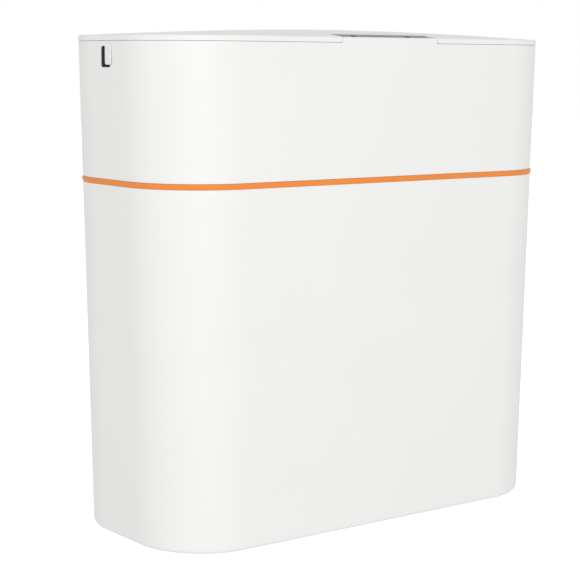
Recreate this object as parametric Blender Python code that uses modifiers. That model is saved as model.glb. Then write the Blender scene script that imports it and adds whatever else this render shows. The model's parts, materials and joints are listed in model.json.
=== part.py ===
"""A slim household trash compactor: a lower bin, a bag ring, an upper housing and a hinged lid.

Under the lid hangs a battery drive whose parallel links swing a press plate down into the bin.
The X axis runs along the long side, the front faces -Y, and the bin stands on Z = 0.
"""

import math

import bmesh
import bpy
from mathutils import Matrix, Vector

# Outer shell. Each level's outline is a rounded rectangle that narrows towards the floor.
SEAM_Z = 0.320
HALF_LENGTH_TOP = 0.1658
HALF_LENGTH_FLOOR = 0.1570
HALF_DEPTH_TOP = 0.0718
HALF_DEPTH_FLOOR = 0.0703
CORNER_TOP = 0.0522
CORNER_FLOOR = 0.0488
CORNER_STEPS = 10
WALL = 0.0022
GAP = 0.0003

# Levels of the stacked shells.
BIN_FLOOR_Z = 0.0020
BIN_RIM_Z = 0.2304
RING_LOW_Z = BIN_RIM_Z + GAP
RING_HIGH_Z = 0.2337
HOUSING_LOW_Z = RING_HIGH_Z + GAP
HOUSING_RIM_Z = SEAM_Z - GAP
RING_SKIRT_Z = 0.222
SPIGOT_Z = 0.2255

# Lid: a thin edge and a low crown.
LID_LOW_Z = SEAM_Z
LID_EDGE_Z = 0.3235
LID_CROWN = 0.0055
LID_OVERHANG = 0.0002
LID_WALL = 0.0020
CROWN_POWER = 1.7

# Feet under the corners of the floor.
FOOT_X = 0.118
FOOT_Y = 0.044
FOOT_R = 0.009

# Front notch in the lid, with the raised tab and the opening button in it.
NOTCH_CENTRE_X = 0.004
NOTCH_HALF = 0.040
TAB_TOP_Z = 0.3234
BUTTON_BACK_Y = -0.0577
BUTTON_FRONT_Y = -HALF_DEPTH_TOP + 0.0024
BUTTON_LOW_Z = 0.3150
BUTTON_TOP_FRONT_Z = 0.3226
BUTTON_TOP_MIDDLE_Z = 0.3234
BUTTON_TOP_BACK_Z = 0.3252
STEM_CENTRE_X = NOTCH_CENTRE_X - 0.008
STEM_CENTRE_Y = -0.0675
SHELF_Z = 0.3085
SHELF_THICK = 0.0016
LEDGE_OFFSET = 0.032
LENS_OFFSET = 0.023
LENS_Y = BUTTON_BACK_Y - 0.0038
LENS_FLOOR_Z = 0.3222
LENS_TOP_Z = 0.3242
LENS_R = 0.0022
SPRING_X = NOTCH_CENTRE_X + 0.010
SPRING_R = 0.0022
SPRING_WIRE_R = 0.0003
SPRING_TURNS = 4
SPRING_STEPS = 10

# Latch under the button.
LATCH_PIVOT_Y = -0.0625
LATCH_PIVOT_Z = 0.3010
LATCH_PIN_R = 0.0010

LEVER_HALF = 0.010
EAR_OFFSET = 0.0125

# Steel striker under the lid.
STRIKER_HALF = 0.007
STRIKER_FRONT_Y = -0.0555
STRIKER_BACK_Y = -0.0545
STRIKER_LOW_Z = 0.3050
STRIKER_HIGH_Z = 0.3230

# Lid hinge.
HINGE_Y = 0.0712
HINGE_Z = 0.3232
HINGE_X = 0.085
HINGE_PIN_R = 0.00125
KNUCKLE_R = 0.0027
KNUCKLE_HALF = 0.010
LUG_LENGTH = 0.0065

# Slide switch in the left end.
SLOT_Y = 0.0008
SLOT_HALF_WIDTH = 0.0052
SLOT_LOW_Z = 0.3036
SLOT_HIGH_Z = 0.3166
SLOT_CORNER = 0.0016
RAIL_OFFSET = 0.0085
CAP_FRONT_Y = -0.0064
CAP_BACK_Y = -0.0004
CAP_LOW_Z = 0.3052
CAP_HIGH_Z = 0.3180
CAP_THICK = 0.0007

# Drive tray under the lid.
TRAY_HALF_X = 0.116
TRAY_FRONT_Y = -0.0455
TRAY_BACK_Y = 0.0515
TRAY_LOW_Z = 0.2900
TRAY_HIGH_Z = 0.3213
TRAY_WALL = 0.0020
POST_X = 0.108
POST_INSET_Y = 0.0085
POST_R = 0.0036
SCREW_R = 0.0015

# Parallel links that carry the press plate.
SHAFT_Z = 0.3062
DRIVE_X = -0.100
IDLER_X = -0.022
LINK_LENGTH = 0.130
PLATE_PIN_Z = 0.2842
SHAFT_R = 0.0025
PIN_R = 0.0020
LINK_THICK = 0.0026
LINK_HALF_HEIGHT = 0.0046
RUNNING = 0.00008

# Press plate.
PLATE_LOW_Z = 0.2764
PLATE_HIGH_Z = 0.2804
PLATE_LEFT_X = -0.106
PLATE_RIGHT_X = 0.146
PLATE_FRONT_Y = -0.0435
PLATE_BACK_Y = 0.0495
PLATE_CORNER = 0.030

# Gears.
MODULE = 0.001
GEAR_TEETH = 24
PINION_TEETH = 10
GEAR_LOW_Y = 0.020
GEAR_WIDTH = 0.006
CENTRE_DISTANCE = MODULE * (GEAR_TEETH + PINION_TEETH) / 2 + 0.00015
MOTOR_X = DRIVE_X + CENTRE_DISTANCE
MOTOR_R = 0.0108
MOTOR_SHAFT_R = 0.0015
CLAMP_THICK = 0.0016

# Battery cells in their cradle, and the control board on its stands.
CELL_R = 0.0090
CELL_LEFT_X = 0.0180
CELL_RIGHT_X = 0.0830
CELL_Y = {"front": -0.0280, "back": -0.0080}
CELL_Z = TRAY_LOW_Z + TRAY_WALL + 0.0016 + CELL_R
CRADLE_HIGH = 0.0060
BOARD_LOW = (0.0180, 0.0120, 0.2960)
BOARD_HIGH = (0.0830, 0.0430, 0.2976)
STAND_INSET = 0.0040
STAND_R = 0.0024

WHITE = ("white_gloss", (0.86, 0.86, 0.85), 0.28, 0.0)
ORANGE = ("orange_gloss", (0.95, 0.30, 0.04), 0.32, 0.0)
GREY = ("grey_satin", (0.30, 0.30, 0.30), 0.42, 0.0)
DARK = ("dark_plastic", (0.035, 0.035, 0.037), 0.5, 0.0)
PRESS = ("press_grey", (0.50, 0.51, 0.52), 0.5, 0.0)
STEEL = ("steel", (0.62, 0.62, 0.64), 0.32, 1.0)
RUBBER = ("rubber", (0.03, 0.03, 0.03), 0.85, 0.0)
NYLON = ("nylon", (0.80, 0.78, 0.72), 0.5, 0.0)
CELL = ("cell_wrap", (0.10, 0.22, 0.30), 0.35, 0.0)
BOARD = ("board", (0.03, 0.16, 0.08), 0.45, 0.0)

for old in list(bpy.data.objects):
    bpy.data.objects.remove(old, do_unlink=True)

PARTS = bpy.data.collections.new("trash_compactor")
CUTTERS = bpy.data.collections.new("cutters")
bpy.context.scene.collection.children.link(PARTS)
bpy.context.scene.collection.children.link(CUTTERS)


def material(look):
    name, colour, roughness, metallic = look
    found = bpy.data.materials.get(name)
    if found:
        return found
    made = bpy.data.materials.new(name)
    made.use_nodes = True
    shader = made.node_tree.nodes["Principled BSDF"]
    shader.inputs["Base Color"].default_value = (*colour, 1.0)
    shader.inputs["Roughness"].default_value = roughness
    shader.inputs["Metallic"].default_value = metallic
    return made


def add(name, bm, look, origin=(0.0, 0.0, 0.0)):
    """Turns a bmesh in world coordinates into a part whose own origin is at the given point."""
    bmesh.ops.recalc_face_normals(bm, faces=bm.faces)
    bmesh.ops.translate(bm, verts=bm.verts, vec=-Vector(origin))
    mesh = bpy.data.meshes.new(name)
    bm.to_mesh(mesh)
    bm.free()
    obj = bpy.data.objects.new(name, mesh)
    obj.location = origin
    if look is None:
        obj.hide_render = True
        obj.display_type = "WIRE"
        CUTTERS.objects.link(obj)
        return obj
    mesh.materials.append(material(look))
    PARTS.objects.link(obj)
    return obj


def boolean(obj, other, operation):
    step = obj.modifiers.new(f"{operation}_{other.name}", "BOOLEAN")
    step.operation = operation
    step.object = other
    step.solver = "EXACT"


def cut(obj, other):
    boolean(obj, other, "DIFFERENCE")


def join(obj, other):
    boolean(obj, other, "UNION")


def bevel(obj, width, segments=2, angle=40.0):
    step = obj.modifiers.new("edges", "BEVEL")
    step.width = width
    step.segments = segments
    step.limit_method = "ANGLE"
    step.angle_limit = math.radians(angle)


def smooth(obj, angle=35.0):
    obj.data.shade_smooth()
    obj.data.set_sharp_from_angle(angle=math.radians(angle))


def box_mesh(low, high):
    bm = bmesh.new()
    low, high = Vector(low), Vector(high)
    size = high - low
    bmesh.ops.create_cube(bm, size=1.0)
    bmesh.ops.scale(bm, verts=bm.verts, vec=size)
    bmesh.ops.translate(bm, verts=bm.verts, vec=(low + high) / 2)
    return bm


def box(name, low, high, look, origin=(0.0, 0.0, 0.0)):
    return add(name, box_mesh(low, high), look, origin)


def rod_mesh(start, end, radius, segments=16):
    bm = bmesh.new()
    start, end = Vector(start), Vector(end)
    along = end - start
    turn = Vector((0, 0, 1)).rotation_difference(along).to_matrix().to_4x4()
    bmesh.ops.create_cone(
        bm, cap_ends=True, segments=segments, radius1=radius, radius2=radius, depth=along.length,
        matrix=Matrix.Translation((start + end) / 2) @ turn,
    )
    return bm


def rod(name, start, end, radius, look, segments=16, origin=(0.0, 0.0, 0.0)):
    obj = add(name, rod_mesh(start, end, radius, segments), look, origin)
    if look is not None:
        smooth(obj)
    return obj


def prism_mesh(points, axis, low, high):
    """Extrudes a flat closed outline along X, Y or Z, from low to high."""
    bm = bmesh.new()
    place = {
        "X": lambda u, v, w: (w, u, v),
        "Y": lambda u, v, w: (u, w, v),
        "Z": lambda u, v, w: (u, v, w),
    }[axis]
    face = bm.faces.new([bm.verts.new(place(u, v, low)) for u, v in points])
    offset = Vector(place(0.0, 0.0, high - low))
    made = bmesh.ops.extrude_face_region(bm, geom=[face])["geom"]
    moved = [item for item in made if isinstance(item, bmesh.types.BMVert)]
    bmesh.ops.translate(bm, verts=moved, vec=offset)
    return bm


def arc(centre, radius, start, end, steps):
    """Points on a circle from one angle to the other, in degrees."""
    for step in range(steps + 1):
        angle = math.radians(start + (end - start) * step / steps)
        yield centre[0] + radius * math.cos(angle), centre[1] + radius * math.sin(angle)


def rounded(half_x, half_y, corner, steps=CORNER_STEPS, centre=(0.0, 0.0)):
    """A rounded rectangle, counterclockwise from the front right corner."""
    points = []
    for sign_x, sign_y, start in ((1, -1, -90), (1, 1, 0), (-1, 1, 90), (-1, -1, 180)):
        middle = (centre[0] + sign_x * (half_x - corner), centre[1] + sign_y * (half_y - corner))
        points += arc(middle, corner, start, start + 90, steps)
    return points


def outline(z, inset):
    """The shell's outline at a height, moved inwards by an inset."""
    down = 1.0 - z / SEAM_Z
    half_x = HALF_LENGTH_TOP + (HALF_LENGTH_FLOOR - HALF_LENGTH_TOP) * down
    half_y = HALF_DEPTH_TOP + (HALF_DEPTH_FLOOR - HALF_DEPTH_TOP) * down
    corner = CORNER_TOP + (CORNER_FLOOR - CORNER_TOP) * down
    return rounded(half_x - inset, half_y - inset, corner - inset)


def loft(rows, closed):
    """Skins rows of points that all have the same count; an open loft gets a cap on each end."""
    bm = bmesh.new()
    loops = [[bm.verts.new(point) for point in row] for row in rows]
    count = len(loops[0])
    pairs = list(zip(loops, loops[1:]))
    if closed:
        pairs.append((loops[-1], loops[0]))
    for lower, upper in pairs:
        for i in range(count):
            j = (i + 1) % count
            bm.faces.new((lower[i], lower[j], upper[j], upper[i]))
    if not closed:
        bm.faces.new(loops[0])
        bm.faces.new(loops[-1])
    return bm


def shell(name, profile, look, closed):
    """A wall whose (z, inset) profile runs round the outline."""
    rows = [[(x, y, z) for x, y in outline(z, inset)] for z, inset in profile]
    obj = add(name, loft(rows, closed), look)
    if look is not None:
        smooth(obj)
    return obj


def crown_height(factor):
    """How far the lid's top stands above its edge, on its outline scaled by a factor from 0 to 1."""
    return LID_CROWN * (1.0 - min(1.0, factor) ** CROWN_POWER)


def make_lower_bin():
    outer = [
        (BIN_FLOOR_Z, 0.0045),
        (BIN_FLOOR_Z + 0.0004, 0.0024),
        (BIN_FLOOR_Z + 0.0014, 0.0009),
        (BIN_FLOOR_Z + 0.0032, 0.0),
        (BIN_RIM_Z - 0.0004, 0.0),
        (BIN_RIM_Z, 0.0004),
    ]
    inner = [
        (BIN_RIM_Z, WALL),
        (BIN_FLOOR_Z + 0.0060, WALL),
        (BIN_FLOOR_Z + 0.0036, WALL + 0.0010),
        (BIN_FLOOR_Z + 0.0026, WALL + 0.0034),
    ]
    shell("lower_bin", outer + inner, WHITE, closed=False)


def make_feet():
    for name, sign_x, sign_y in (
        ("foot_front_left", -1, -1),
        ("foot_front_right", 1, -1),
        ("foot_back_left", -1, 1),
        ("foot_back_right", 1, 1),
    ):
        x, y = sign_x * FOOT_X, sign_y * FOOT_Y
        foot = rod(name, (x, y, 0.0), (x, y, BIN_FLOOR_Z - GAP), FOOT_R, RUBBER, 20)
        bevel(foot, 0.0005, 1)


def make_bag_ring():
    middle = (RING_LOW_Z + RING_HIGH_Z) / 2
    shell(
        "bag_ring",
        [
            (RING_LOW_Z, 0.0002),
            (RING_LOW_Z + 0.0005, -0.00035),
            (middle, -0.0005),
            (RING_HIGH_Z - 0.0005, -0.00035),
            (RING_HIGH_Z, 0.0002),
            (RING_HIGH_Z, 0.0042),
            (RING_SKIRT_Z, 0.0042),
            (RING_SKIRT_Z, WALL + GAP),
            (RING_LOW_Z, WALL + GAP),
        ],
        ORANGE,
        closed=True,
    )


def hinge_profile(towards_front):
    """A knuckle round the hinge axis, in Y and Z, with an arm to the lid or to the housing."""
    if towards_front:
        top = list(arc((HINGE_Y, HINGE_Z), KNUCKLE_R, -90, 90, 8))
        return top + [(HINGE_Y - 0.0060, HINGE_Z + 0.0016), (HINGE_Y - 0.0060, HINGE_Z - 0.0014)]
    turn = list(arc((HINGE_Y, HINGE_Z), KNUCKLE_R, -30, 210, 10))
    foot_z = HOUSING_RIM_Z - 0.0045
    return turn + [(HINGE_Y - 0.0014, foot_z), (HINGE_Y + 0.0004, foot_z)]


def make_upper_housing():
    housing = shell(
        "upper_housing",
        [
            (HOUSING_LOW_Z, 0.0003),
            (HOUSING_LOW_Z + 0.0004, 0.0),
            (HOUSING_RIM_Z - 0.0011, 0.0),
            (HOUSING_RIM_Z, 0.0005),
            (HOUSING_RIM_Z, WALL),
            (HOUSING_LOW_Z + 0.0036, WALL),
            (HOUSING_LOW_Z + 0.0024, 0.0060),
            (SPIGOT_Z, 0.0060),
            (SPIGOT_Z, 0.0045),
            (HOUSING_LOW_Z, 0.0045),
        ],
        WHITE,
        closed=True,
    )
    left = NOTCH_CENTRE_X - NOTCH_HALF
    right = NOTCH_CENTRE_X + NOTCH_HALF
    tab = box(
        "tab_body",
        (left, -HALF_DEPTH_TOP + 0.00005, HOUSING_RIM_Z - 0.004),
        (right, -HALF_DEPTH_TOP + 0.0020, TAB_TOP_Z),
        None,
    )
    bevel(tab, 0.0004, 2)
    join(housing, tab)
    for side in (-1, 1):
        for inner in (-1, 1):
            middle = side * HINGE_X + inner * (KNUCKLE_HALF + GAP + LUG_LENGTH / 2)
            low, high = middle - LUG_LENGTH / 2, middle + LUG_LENGTH / 2
            name = f"hinge_lug_{side}_{inner}"
            join(housing, add(name, prism_mesh(hinge_profile(False), "X", low, high), None))
    for side in (-1, 1):
        low = side * HINGE_X - 0.022
        high = side * HINGE_X + 0.022
        bore = rod_mesh((low, HINGE_Y, HINGE_Z), (high, HINGE_Y, HINGE_Z), HINGE_PIN_R + RUNNING, 16)
        cut(housing, add(f"hinge_bore_{side}", bore, None))
        pocket = box_mesh(
            (side * HINGE_X - KNUCKLE_HALF - GAP, HALF_DEPTH_TOP - 0.0050, HINGE_Z - KNUCKLE_R - 0.0008),
            (side * HINGE_X + KNUCKLE_HALF + GAP, HALF_DEPTH_TOP + 0.0010, HINGE_Z + 0.0040),
        )
        cut(housing, add(f"hinge_pocket_{side}", pocket, None))
    for side in (-1, 1):
        middle = NOTCH_CENTRE_X + side * EAR_OFFSET
        ear = box_mesh(
            (middle - 0.0012, -HALF_DEPTH_TOP + 0.0010, LATCH_PIVOT_Z - 0.0032),
            (middle + 0.0012, LATCH_PIVOT_Y + 0.0032, LATCH_PIVOT_Z + 0.0032),
        )
        join(housing, add(f"latch_ear_{side}", ear, None))
    bore = rod_mesh(
        (NOTCH_CENTRE_X - 0.016, LATCH_PIVOT_Y, LATCH_PIVOT_Z),
        (NOTCH_CENTRE_X + 0.016, LATCH_PIVOT_Y, LATCH_PIVOT_Z),
        LATCH_PIN_R + RUNNING,
        12,
    )
    cut(housing, add("latch_bore", bore, None))
    for side in (-1, 1):
        middle = NOTCH_CENTRE_X + side * LEDGE_OFFSET
        ledge = box_mesh(
            (middle - 0.004, -HALF_DEPTH_TOP + 0.0010, SHELF_Z - SHELF_THICK - 0.0030),
            (middle + 0.004, BUTTON_BACK_Y - 0.0010, SHELF_Z - SHELF_THICK - GAP),
        )
        join(housing, add(f"shelf_ledge_{side}", ledge, None))
    slot_middle = (SLOT_Y, (SLOT_HIGH_Z + SLOT_LOW_Z) / 2)
    slot = rounded(SLOT_HALF_WIDTH, (SLOT_HIGH_Z - SLOT_LOW_Z) / 2, SLOT_CORNER, 5, slot_middle)
    slot_bm = prism_mesh(slot, "X", -HALF_LENGTH_TOP - 0.01, -HALF_LENGTH_TOP + 0.01)
    cut(housing, add("switch_slot", slot_bm, None))
    for sign in (-1, 1):
        y = SLOT_Y + sign * RAIL_OFFSET
        rail = box_mesh(
            (-HALF_LENGTH_TOP + 0.0010, y - 0.0010, SLOT_LOW_Z - 0.003),
            (-HALF_LENGTH_TOP + 0.0100, y + 0.0010, SLOT_HIGH_Z + 0.001),
        )
        join(housing, add(f"switch_rail_{sign}", rail, None))


def make_switch():
    inner_x = -HALF_LENGTH_TOP + WALL + 0.0008
    box(
        "switch_body",
        (inner_x + 0.0012, SLOT_Y - 0.0070, SLOT_LOW_Z - 0.0025),
        (inner_x + 0.0065, SLOT_Y + 0.0070, SLOT_HIGH_Z + 0.0005),
        DARK,
    )
    outside = -HALF_LENGTH_TOP - GAP
    knob = box(
        "switch_slider",
        (outside - CAP_THICK, CAP_FRONT_Y, CAP_LOW_Z),
        (outside, CAP_BACK_Y, CAP_HIGH_Z),
        WHITE,
    )
    stem = box_mesh(
        (outside - CAP_THICK / 2, SLOT_Y - 0.0039, CAP_LOW_Z + 0.0020),
        (inner_x + 0.0008, SLOT_Y - 0.0014, CAP_HIGH_Z - 0.0044),
    )
    join(knob, add("slider_stem", stem, None))


def make_latch():
    rod(
        "latch_pin",
        (NOTCH_CENTRE_X - EAR_OFFSET - 0.0015, LATCH_PIVOT_Y, LATCH_PIVOT_Z),
        (NOTCH_CENTRE_X + EAR_OFFSET + 0.0015, LATCH_PIVOT_Y, LATCH_PIVOT_Z),
        LATCH_PIN_R,
        STEEL,
        12,
    )
    y, z = LATCH_PIVOT_Y, LATCH_PIVOT_Z
    lever = [
        (y - 0.0060, z - 0.0012),
        (y + 0.0026, z - 0.0024),
        (y + 0.0060, z + 0.0006),
        (y + 0.0060, z + 0.0064),
        (y + 0.0066, z + 0.0070),
        (y + 0.0066, z + 0.0088),
        (y + 0.0058, z + 0.0096),
        (y + 0.0044, z + 0.0096),
        (y + 0.0044, z + 0.0040),
        (y + 0.0014, z + 0.0022),
        (y - 0.0014, z + 0.0015),
        (y - 0.0060, z + 0.0012),
    ]
    hook = add(
        "latch_lever",
        prism_mesh(lever, "X", NOTCH_CENTRE_X - LEVER_HALF, NOTCH_CENTRE_X + LEVER_HALF),
        NYLON,
        (NOTCH_CENTRE_X, LATCH_PIVOT_Y, LATCH_PIVOT_Z),
    )
    bore_half = LEVER_HALF + 0.002
    bore = rod_mesh(
        (NOTCH_CENTRE_X - bore_half, y, z),
        (NOTCH_CENTRE_X + bore_half, y, z),
        LATCH_PIN_R + RUNNING,
        12,
    )
    cut(hook, add("lever_bore", bore, None))


def make_button():
    left = NOTCH_CENTRE_X - NOTCH_HALF + 0.0006
    right = NOTCH_CENTRE_X + NOTCH_HALF - 0.0006
    front, back = BUTTON_FRONT_Y, BUTTON_BACK_Y
    middle = (front + back) / 2
    shelf = box("button_shelf", (left, front, SHELF_Z - SHELF_THICK), (right, back, SHELF_Z), DARK)
    window = box_mesh(
        (STEM_CENTRE_X - 0.0025, STEM_CENTRE_Y - 0.0012, SHELF_Z - 0.005),
        (STEM_CENTRE_X + 0.0025, STEM_CENTRE_Y + 0.0042, SHELF_Z + 0.005),
    )
    cut(shelf, add("shelf_window", window, None))
    recess = box_mesh(
        (NOTCH_CENTRE_X - LEVER_HALF - 0.0008, LATCH_PIVOT_Y + 0.0018, SHELF_Z - 0.005),
        (NOTCH_CENTRE_X + LEVER_HALF + 0.0008, back + 0.001, SHELF_Z + 0.005),
    )
    cut(shelf, add("shelf_recess", recess, None))
    profile = [
        (front, BUTTON_LOW_Z),
        (back - 0.0004, BUTTON_LOW_Z),
        (back - 0.0004, BUTTON_TOP_BACK_Z - 0.0006),
        (back - 0.0010, BUTTON_TOP_BACK_Z),
        (middle, BUTTON_TOP_MIDDLE_Z),
        (front + 0.0006, BUTTON_TOP_FRONT_Z),
        (front, BUTTON_TOP_FRONT_Z - 0.0006),
    ]
    button_bm = prism_mesh(profile, "X", left, right)
    button = add("open_button", button_bm, GREY, (NOTCH_CENTRE_X, middle, BUTTON_LOW_Z))
    stem = box_mesh(
        (STEM_CENTRE_X - 0.0020, STEM_CENTRE_Y - 0.0008, LATCH_PIVOT_Z + 0.0018),
        (STEM_CENTRE_X + 0.0020, STEM_CENTRE_Y + 0.0008, BUTTON_LOW_Z + 0.0010),
    )
    join(button, add("button_stem", stem, None))
    for name, side in (("button_lens_left", -1), ("button_lens_right", 1)):
        x = NOTCH_CENTRE_X + side * LENS_OFFSET
        well = rod_mesh((x, LENS_Y, LENS_FLOOR_Z), (x, LENS_Y, BUTTON_TOP_BACK_Z + 0.005), LENS_R, 16)
        cut(button, add(f"lens_well_{side}", well, None))
        rod(name, (x, LENS_Y, LENS_FLOOR_Z + GAP), (x, LENS_Y, LENS_TOP_Z), LENS_R - GAP, DARK, 16)


def make_spring():
    middle_y = (BUTTON_FRONT_Y + BUTTON_BACK_Y) / 2
    low = SHELF_Z + SPRING_WIRE_R + GAP
    high = BUTTON_LOW_Z - SPRING_WIRE_R - GAP
    count = SPRING_TURNS * SPRING_STEPS
    curve = bpy.data.curves.new("button_spring", "CURVE")
    curve.dimensions = "3D"
    curve.bevel_depth = SPRING_WIRE_R
    curve.bevel_resolution = 1
    curve.use_fill_caps = True
    spline = curve.splines.new("POLY")
    spline.points.add(count)
    for i, point in enumerate(spline.points):
        angle = 2 * math.pi * i / SPRING_STEPS
        x = SPRING_X + SPRING_R * math.cos(angle)
        y = middle_y + SPRING_R * math.sin(angle)
        point.co = (x, y, low + (high - low) * i / count, 1.0)
    curve.materials.append(material(STEEL))
    PARTS.objects.link(bpy.data.objects.new("button_spring", curve))


def make_lid():
    edge = rounded(
        HALF_LENGTH_TOP + LID_OVERHANG, HALF_DEPTH_TOP + LID_OVERHANG, CORNER_TOP + LID_OVERHANG
    )
    inner = rounded(HALF_LENGTH_TOP - LID_WALL, HALF_DEPTH_TOP - LID_WALL, CORNER_TOP - LID_WALL)

    def scaled(points, factor, drop):
        height = LID_EDGE_Z + crown_height(factor) - drop
        return [(x * factor, y * factor, height) for x, y in points]

    def flat(points, inset, z):
        shrink_x = 1.0 - inset / HALF_LENGTH_TOP
        shrink_y = 1.0 - inset / HALF_DEPTH_TOP
        return [(x * shrink_x, y * shrink_y, z) for x, y in points]

    rows = [
        scaled(inner, 0.02, LID_WALL),
        scaled(inner, 0.35, LID_WALL),
        scaled(inner, 0.70, LID_WALL),
        scaled(inner, 1.0, LID_WALL),
        flat(inner, 0.0, LID_LOW_Z),
        flat(edge, 0.0004, LID_LOW_Z),
        flat(edge, 0.0, LID_LOW_Z + 0.0005),
        flat(edge, 0.0, LID_EDGE_Z - 0.0012),
        flat(edge, 0.0004, LID_EDGE_Z - 0.0004),
        flat(edge, 0.0014, LID_EDGE_Z),
    ]
    rows += [scaled(edge, factor, 0.0) for factor in (0.96, 0.88, 0.76, 0.60, 0.40, 0.20, 0.02)]
    lid = add("lid", loft(rows, closed=False), WHITE, (0.0, HINGE_Y, HINGE_Z))
    smooth(lid)
    notch = box_mesh(
        (NOTCH_CENTRE_X - NOTCH_HALF - GAP, -HALF_DEPTH_TOP - 0.01, LID_LOW_Z - 0.01),
        (NOTCH_CENTRE_X + NOTCH_HALF + GAP, BUTTON_BACK_Y, LID_EDGE_Z + 0.01),
    )
    cut(lid, add("lid_notch", notch, None))
    for side in (-1, 1):
        for inner_side in (-1, 1):
            middle = side * HINGE_X + inner_side * (KNUCKLE_HALF + GAP + LUG_LENGTH / 2)
            relief = box_mesh(
                (middle - LUG_LENGTH / 2 - GAP, HINGE_Y - 0.0042, LID_LOW_Z - 0.005),
                (middle + LUG_LENGTH / 2 + GAP, HINGE_Y + 0.01, LID_EDGE_Z + 0.005),
            )
            cut(lid, add(f"lug_relief_{side}_{inner_side}", relief, None))
        knuckle = prism_mesh(
            hinge_profile(True), "X", side * HINGE_X - KNUCKLE_HALF, side * HINGE_X + KNUCKLE_HALF
        )
        join(lid, add(f"lid_knuckle_{side}", knuckle, None))
        bore = rod_mesh(
            (side * HINGE_X - 0.02, HINGE_Y, HINGE_Z),
            (side * HINGE_X + 0.02, HINGE_Y, HINGE_Z),
            HINGE_PIN_R + RUNNING,
            16,
        )
        cut(lid, add(f"lid_bore_{side}", bore, None))
    for label, x, y in post_places():
        reach = max(abs(x) / HALF_LENGTH_TOP, abs(y) / HALF_DEPTH_TOP)
        root_z = LID_EDGE_Z + crown_height(reach) - LID_WALL / 2
        post = rod_mesh((x, y, TRAY_LOW_Z + TRAY_WALL + GAP), (x, y, root_z), POST_R, 16)
        join(lid, add(f"lid_post_{label}", post, None))
        hole = rod_mesh((x, y, TRAY_LOW_Z), (x, y, TRAY_LOW_Z + 0.012), SCREW_R + RUNNING, 12)
        cut(lid, add(f"post_hole_{label}", hole, None))


def post_places():
    for label, sign, y in (
        ("front_left", -1, TRAY_FRONT_Y + POST_INSET_Y),
        ("front_right", 1, TRAY_FRONT_Y + POST_INSET_Y),
        ("back_left", -1, TRAY_BACK_Y - POST_INSET_Y),
        ("back_right", 1, TRAY_BACK_Y - POST_INSET_Y),
    ):
        yield label, sign * POST_X, y


def make_hinge_pins():
    for name, side in (("hinge_pin_left", -1), ("hinge_pin_right", 1)):
        half = KNUCKLE_HALF + LUG_LENGTH + 0.0006
        rod(
            name,
            (side * HINGE_X - half, HINGE_Y, HINGE_Z),
            (side * HINGE_X + half, HINGE_Y, HINGE_Z),
            HINGE_PIN_R,
            STEEL,
            16,
        )


def make_striker():
    x = NOTCH_CENTRE_X
    plate = box(
        "lid_striker",
        (x - STRIKER_HALF, STRIKER_FRONT_Y, STRIKER_LOW_Z),
        (x + STRIKER_HALF, STRIKER_BACK_Y, STRIKER_HIGH_Z),
        STEEL,
    )
    window = box_mesh(
        (x - STRIKER_HALF + 0.0025, STRIKER_FRONT_Y - 0.005, STRIKER_LOW_Z + 0.0022),
        (x + STRIKER_HALF - 0.0025, STRIKER_BACK_Y + 0.005, STRIKER_LOW_Z + 0.0060),
    )
    cut(plate, add("striker_window", window, None))


def make_tray():
    centre_y = (TRAY_FRONT_Y + TRAY_BACK_Y) / 2
    half_y = (TRAY_BACK_Y - TRAY_FRONT_Y) / 2

    def ring(inset, z):
        points = rounded(TRAY_HALF_X - inset, half_y - inset, 0.008 - inset, 4, (0.0, centre_y))
        return [(x, y, z) for x, y in points]

    rows = [
        ring(0.0, TRAY_LOW_Z),
        ring(0.0, TRAY_HIGH_Z),
        ring(TRAY_WALL, TRAY_HIGH_Z),
        ring(TRAY_WALL, TRAY_LOW_Z + TRAY_WALL),
    ]
    tray = add("drive_tray", loft(rows, closed=False), PRESS)
    for label, x in (("drive", DRIVE_X), ("idler", IDLER_X)):
        bore = rod_mesh((x, -0.06, SHAFT_Z), (x, 0.07, SHAFT_Z), SHAFT_R + RUNNING, 20)
        cut(tray, add(f"tray_bore_{label}", bore, None))
    for label, x, y in post_places():
        start, end = (x, y, TRAY_LOW_Z - 0.005), (x, y, TRAY_LOW_Z + 0.005)
        hole = rod_mesh(start, end, SCREW_R + RUNNING, 12)
        cut(tray, add(f"tray_hole_{label}", hole, None))
        head = rod_mesh((x, y, TRAY_LOW_Z - 0.0017), (x, y, TRAY_LOW_Z - GAP), 0.0030, 16)
        screw = add(f"tray_screw_{label}", head, STEEL)
        shank = rod_mesh((x, y, TRAY_LOW_Z - 0.0010), (x, y, TRAY_LOW_Z + 0.0110), SCREW_R, 12)
        join(screw, add(f"screw_shank_{label}", shank, None))


def gear_mesh(teeth, centre_x, phase, bore):
    """A spur gear round an axis along Y, with straight-sided teeth."""
    pitch = MODULE * teeth / 2
    root, tip = pitch - 1.2 * MODULE, pitch + 0.9 * MODULE
    step = 2 * math.pi / teeth
    points = []
    for tooth in range(teeth):
        middle = phase + tooth * step
        for radius, offset in ((root, -0.30), (tip, -0.12), (tip, 0.12), (root, 0.30)):
            angle = middle + offset * step
            points.append((centre_x + radius * math.cos(angle), SHAFT_Z + radius * math.sin(angle)))
    bm = prism_mesh(points, "Y", GEAR_LOW_Y, GEAR_LOW_Y + GEAR_WIDTH)
    start = (centre_x, GEAR_LOW_Y - 0.01, SHAFT_Z)
    end = (centre_x, GEAR_LOW_Y + GEAR_WIDTH + 0.01, SHAFT_Z)
    hole = rod_mesh(start, end, bore, 20)
    return bm, hole


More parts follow.
